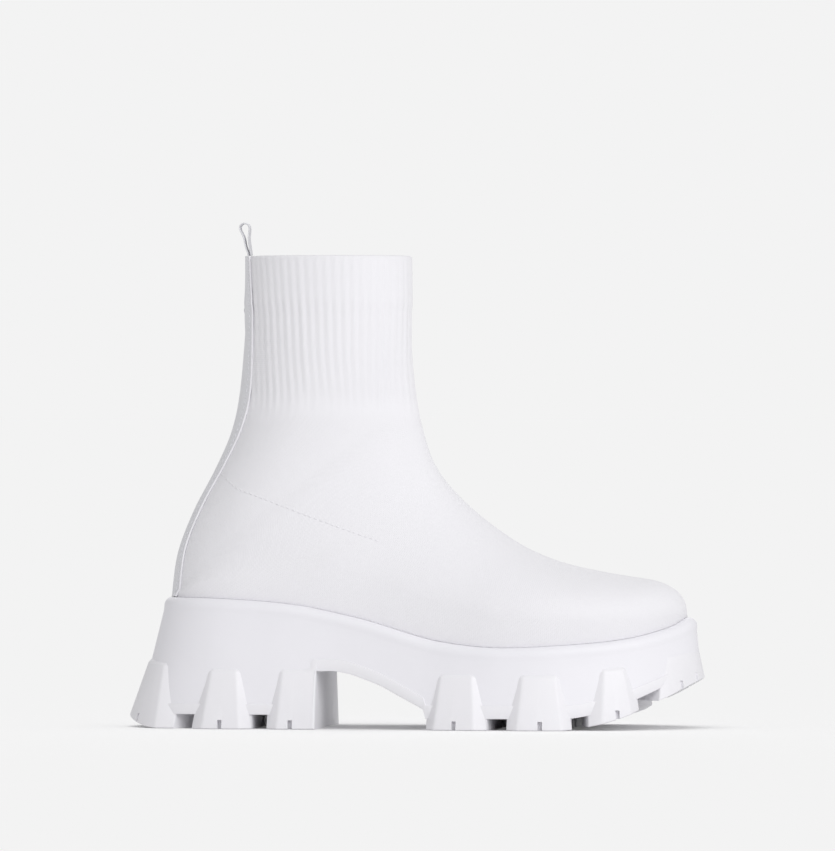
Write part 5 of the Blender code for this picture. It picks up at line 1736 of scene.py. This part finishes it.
class BOOT_OT_seams(bpy.types.Operator):
    """Sews the counter's seam on both quarters and the row of stitches over the sole's rim"""
    bl_idname = "sock_boot.seams"
    bl_label = "Seams and stitches"

    def execute(self, context):
        upper = bpy.data.objects["upper_knit"]
        tree = BVHTree.FromObject(upper, context.evaluated_depsgraph_get())
        sizes = settings().stitches
        runs = []
        for side in (LATERAL, MEDIAL):
            line, outs = self.counter_line(tree, side)
            runs += stitch_run(line, outs, sizes)
        stitches = capsules("counter_stitches", runs, sizes.thread / 2, sewing_thread(), 0.08 * MM)
        runs = []
        for side in (LATERAL, MEDIAL):
            line, outs = self.feather_line(side)
            runs += stitch_run(line, outs, sizes)
        rim = capsules("rim_stitches", runs, sizes.thread / 2, sewing_thread(), 0.05 * MM)
        for piece in (stitches, rim):
            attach(piece, BODY)
        return {"FINISHED"}

    def counter_line(self, tree, side):
        """Points of the counter's seam on the knit, found from the side."""
        knots, heights = [list(column) for column in zip(*COUNTER_SEAM)]
        line, outs = [], []
        count = 60
        for k in range(count + 1):
            along = knots[0] + (knots[-1] - knots[0]) * k / count
            start = Vector((along * LAST_LENGTH, side * BALL_WIDTH,
                            curve_value(knots, heights, along)))
            hit, normal, _face, _far = tree.ray_cast(start + PLACE, Vector((0.0, -side, 0.0)))
            if hit:
                line.append(hit - PLACE)
                outs.append(normal)
        return line, outs

    def feather_line(self, side):
        """Points just over the rim, round one side of the upper."""
        line, outs = [], []
        count = 140
        for k in range(3, count):
            turn = math.pi * k / count
            normal = edge_normal(turn, side)
            plan = outline_at(turn, side, 0.0)
            height = feather_height(along_of(turn)) + 0.9 * MM
            line.append(Vector((plan.x, plan.y, height)) - Vector((*(normal * WALL_LEAN * MM), 0.0)))
            outs.append(Vector((normal.x, normal.y, 0.2)).normalized())
        return line, outs


class BOOT_OT_stage(bpy.types.Operator):
    """Sets up the floor, the soft studio light and the camera at the photograph's angle"""
    bl_idname = "sock_boot.stage"
    bl_label = "Stage"

    BACKGROUND = "#F3F3F3"
    PHOTO_WIDTH = 835
    PHOTO_HEIGHT = 851
    PHOTO_SCALE = 1980.0
    BOOT_CENTRE_COLUMN = 415.0
    TARGET_ROW = 489.5
    TARGET_HEIGHT = 0.12
    FLOOR_DIFFUSE = 0.95
    FLOOR_REACH = 200.0
    OVERHEAD = 0.90
    DISK_SIZE = 2.0

    def execute(self, context):
        sizes = settings().stage
        scene = context.scene
        scene.view_settings.view_transform = "Standard"
        scene.view_settings.look = "None"
        self.world(scene, sizes)
        self.floor(sizes)
        self.lights(sizes)
        self.camera(scene, sizes)
        return {"FINISHED"}

    def world(self, scene, sizes):
        """Even light from all round. The camera sees the background's own tone."""
        world = bpy.data.worlds.new("soft box room")
        scene.world = world
        world.use_nodes = True
        tree = world.node_tree
        background = tree.nodes["Background"]
        ray = add_node(tree, "ShaderNodeLightPath")
        tone = linear(self.BACKGROUND)[0]
        level = add_node(tree, "ShaderNodeMix", {"data_type": "FLOAT"},
                         {0: ray.outputs["Is Camera Ray"], 2: sizes.world, 3: tone})
        tree.links.new(level.outputs[0], background.inputs["Strength"])
        background.inputs["Color"].default_value = (1.0, 1.0, 1.0, 1.0)

    def floor(self, sizes):
        """A pale floor that reaches the horizon."""
        mesh = bpy.data.meshes.new("floor")
        reach = self.FLOOR_REACH
        corners = [(-reach, -reach, 0), (reach, -reach, 0), (reach, reach, 0), (-reach, reach, 0)]
        mesh.from_pydata(corners, [], [(0, 1, 2, 3)])
        floor = bpy.data.objects.new("floor", mesh)
        bpy.context.scene.collection.objects.link(floor)
        material = bpy.data.materials.new("painted studio floor")
        material.use_nodes = True
        tree = material.node_tree
        tree.nodes.clear()
        ray = add_node(tree, "ShaderNodeLightPath")
        tone = linear(self.BACKGROUND)[0]
        lit = self.FLOOR_DIFFUSE * (sizes.world + self.OVERHEAD / math.pi)
        level = add_node(tree, "ShaderNodeMix", {"data_type": "FLOAT"},
                         {0: ray.outputs["Is Camera Ray"], 2: 0.0, 3: max(0.0, tone - lit)})
        glow = add_node(tree, "ShaderNodeEmission", None, {"Strength": level.outputs[0]})
        paint = add_node(tree, "ShaderNodeBsdfDiffuse", None,
                         {"Color": (*[self.FLOOR_DIFFUSE] * 3, 1.0)})
        both = add_node(tree, "ShaderNodeAddShader", None, {0: glow.outputs[0], 1: paint.outputs[0]})
        add_node(tree, "ShaderNodeOutputMaterial", None, {"Surface": both.outputs[0]})
        mesh.materials.append(material)

    def lights(self, sizes):
        """A large soft key from front right, a faint one from behind, and an overhead for the floor."""
        for name, place, energy in (("key light", (1.3, -1.75, 1.45), sizes.key),
                                    ("back light", (-0.4, 2.4, 1.3), sizes.key * 0.4)):
            data = bpy.data.lights.new(name, "AREA")
            data.shape = "DISK"
            data.size = self.DISK_SIZE
            data.energy = energy
            light = bpy.data.objects.new(name, data)
            light.location = place
            aim = Vector((0.0, 0.0, self.TARGET_HEIGHT)) - light.location
            light.rotation_euler = aim.to_track_quat("-Z", "Y").to_euler()
            bpy.context.scene.collection.objects.link(light)
            light.light_linking.receiver_collection = BOOT
        data = bpy.data.lights.new("overhead", "SUN")
        data.energy = self.OVERHEAD
        data.angle = math.radians(50)
        overhead = bpy.data.objects.new("overhead", data)
        bpy.context.scene.collection.objects.link(overhead)
        ground = bpy.data.collections.new("ground")
        bpy.context.scene.collection.children.link(ground)
        ground.objects.link(bpy.data.objects["floor"])
        overhead.light_linking.receiver_collection = ground

    def camera(self, scene, sizes):
        """The camera, turned a little towards the toe, with the boot where the photograph has it."""
        data = bpy.data.cameras.new("camera")
        camera = bpy.data.objects.new("camera", data)
        scene.collection.objects.link(camera)
        turn, rise = sizes.azimuth, sizes.elevation
        back = Vector((math.sin(turn) * math.cos(rise), -math.cos(turn) * math.cos(rise),
                       math.sin(rise)))
        camera.location = Vector((0.0, 0.0, self.TARGET_HEIGHT)) + back * sizes.distance
        camera.rotation_euler = (-back).to_track_quat("-Z", "Y").to_euler()
        data.sensor_width = 36.0
        longest = max(self.PHOTO_WIDTH, self.PHOTO_HEIGHT)
        data.lens = self.PHOTO_SCALE * sizes.distance / longest * data.sensor_width
        data.shift_x = (self.PHOTO_WIDTH / 2 - self.BOOT_CENTRE_COLUMN) / longest
        data.shift_y = (self.TARGET_ROW - self.PHOTO_HEIGHT / 2) / longest
        data.clip_end = 500.0
        scene.camera = camera


class BootSettings(bpy.types.PropertyGroup):
    """All the settings of the sock boot."""
    upper: PointerProperty(type=UpperSizes)
    sole: PointerProperty(type=SoleSizes)
    stitches: PointerProperty(type=StitchSizes)
    colours: PointerProperty(type=BootColours)
    stage: PointerProperty(type=StageSizes)


OPERATORS = (BOOT_OT_sole, BOOT_OT_footbed, BOOT_OT_upper, BOOT_OT_tapes, BOOT_OT_seams, BOOT_OT_stage)
GROUPS = (UpperSizes, SoleSizes, StitchSizes, BootColours, StageSizes, BootSettings)


class BOOT_PT_panel(bpy.types.Panel):
    """Settings and operators of the sock boot"""
    bl_idname = "BOOT_PT_panel"
    bl_label = "Sock boot"
    bl_space_type = "VIEW_3D"
    bl_region_type = "UI"
    bl_category = "Sock boot"

    def draw(self, context):
        layout = self.layout
        for name in ("upper", "sole", "stitches", "colours", "stage"):
            box = layout.box()
            group = getattr(context.scene.sock_boot, name)
            for key in group.__annotations__:
                box.prop(group, key)
        for operator in OPERATORS:
            layout.operator(operator.bl_idname)


def register():
    for cls in (*GROUPS, *OPERATORS, BOOT_PT_panel):
        bpy.utils.register_class(cls)
    bpy.types.Scene.sock_boot = PointerProperty(type=BootSettings)


def unregister():
    del bpy.types.Scene.sock_boot
    for cls in reversed((*GROUPS, *OPERATORS, BOOT_PT_panel)):
        bpy.utils.unregister_class(cls)


def main():
    register()
    bpy.ops.sock_boot.sole()
    bpy.ops.sock_boot.footbed()
    bpy.ops.sock_boot.upper()
    bpy.ops.sock_boot.tapes()
    bpy.ops.sock_boot.seams()
    bpy.ops.sock_boot.stage()


if __name__ == "__main__":
    main()
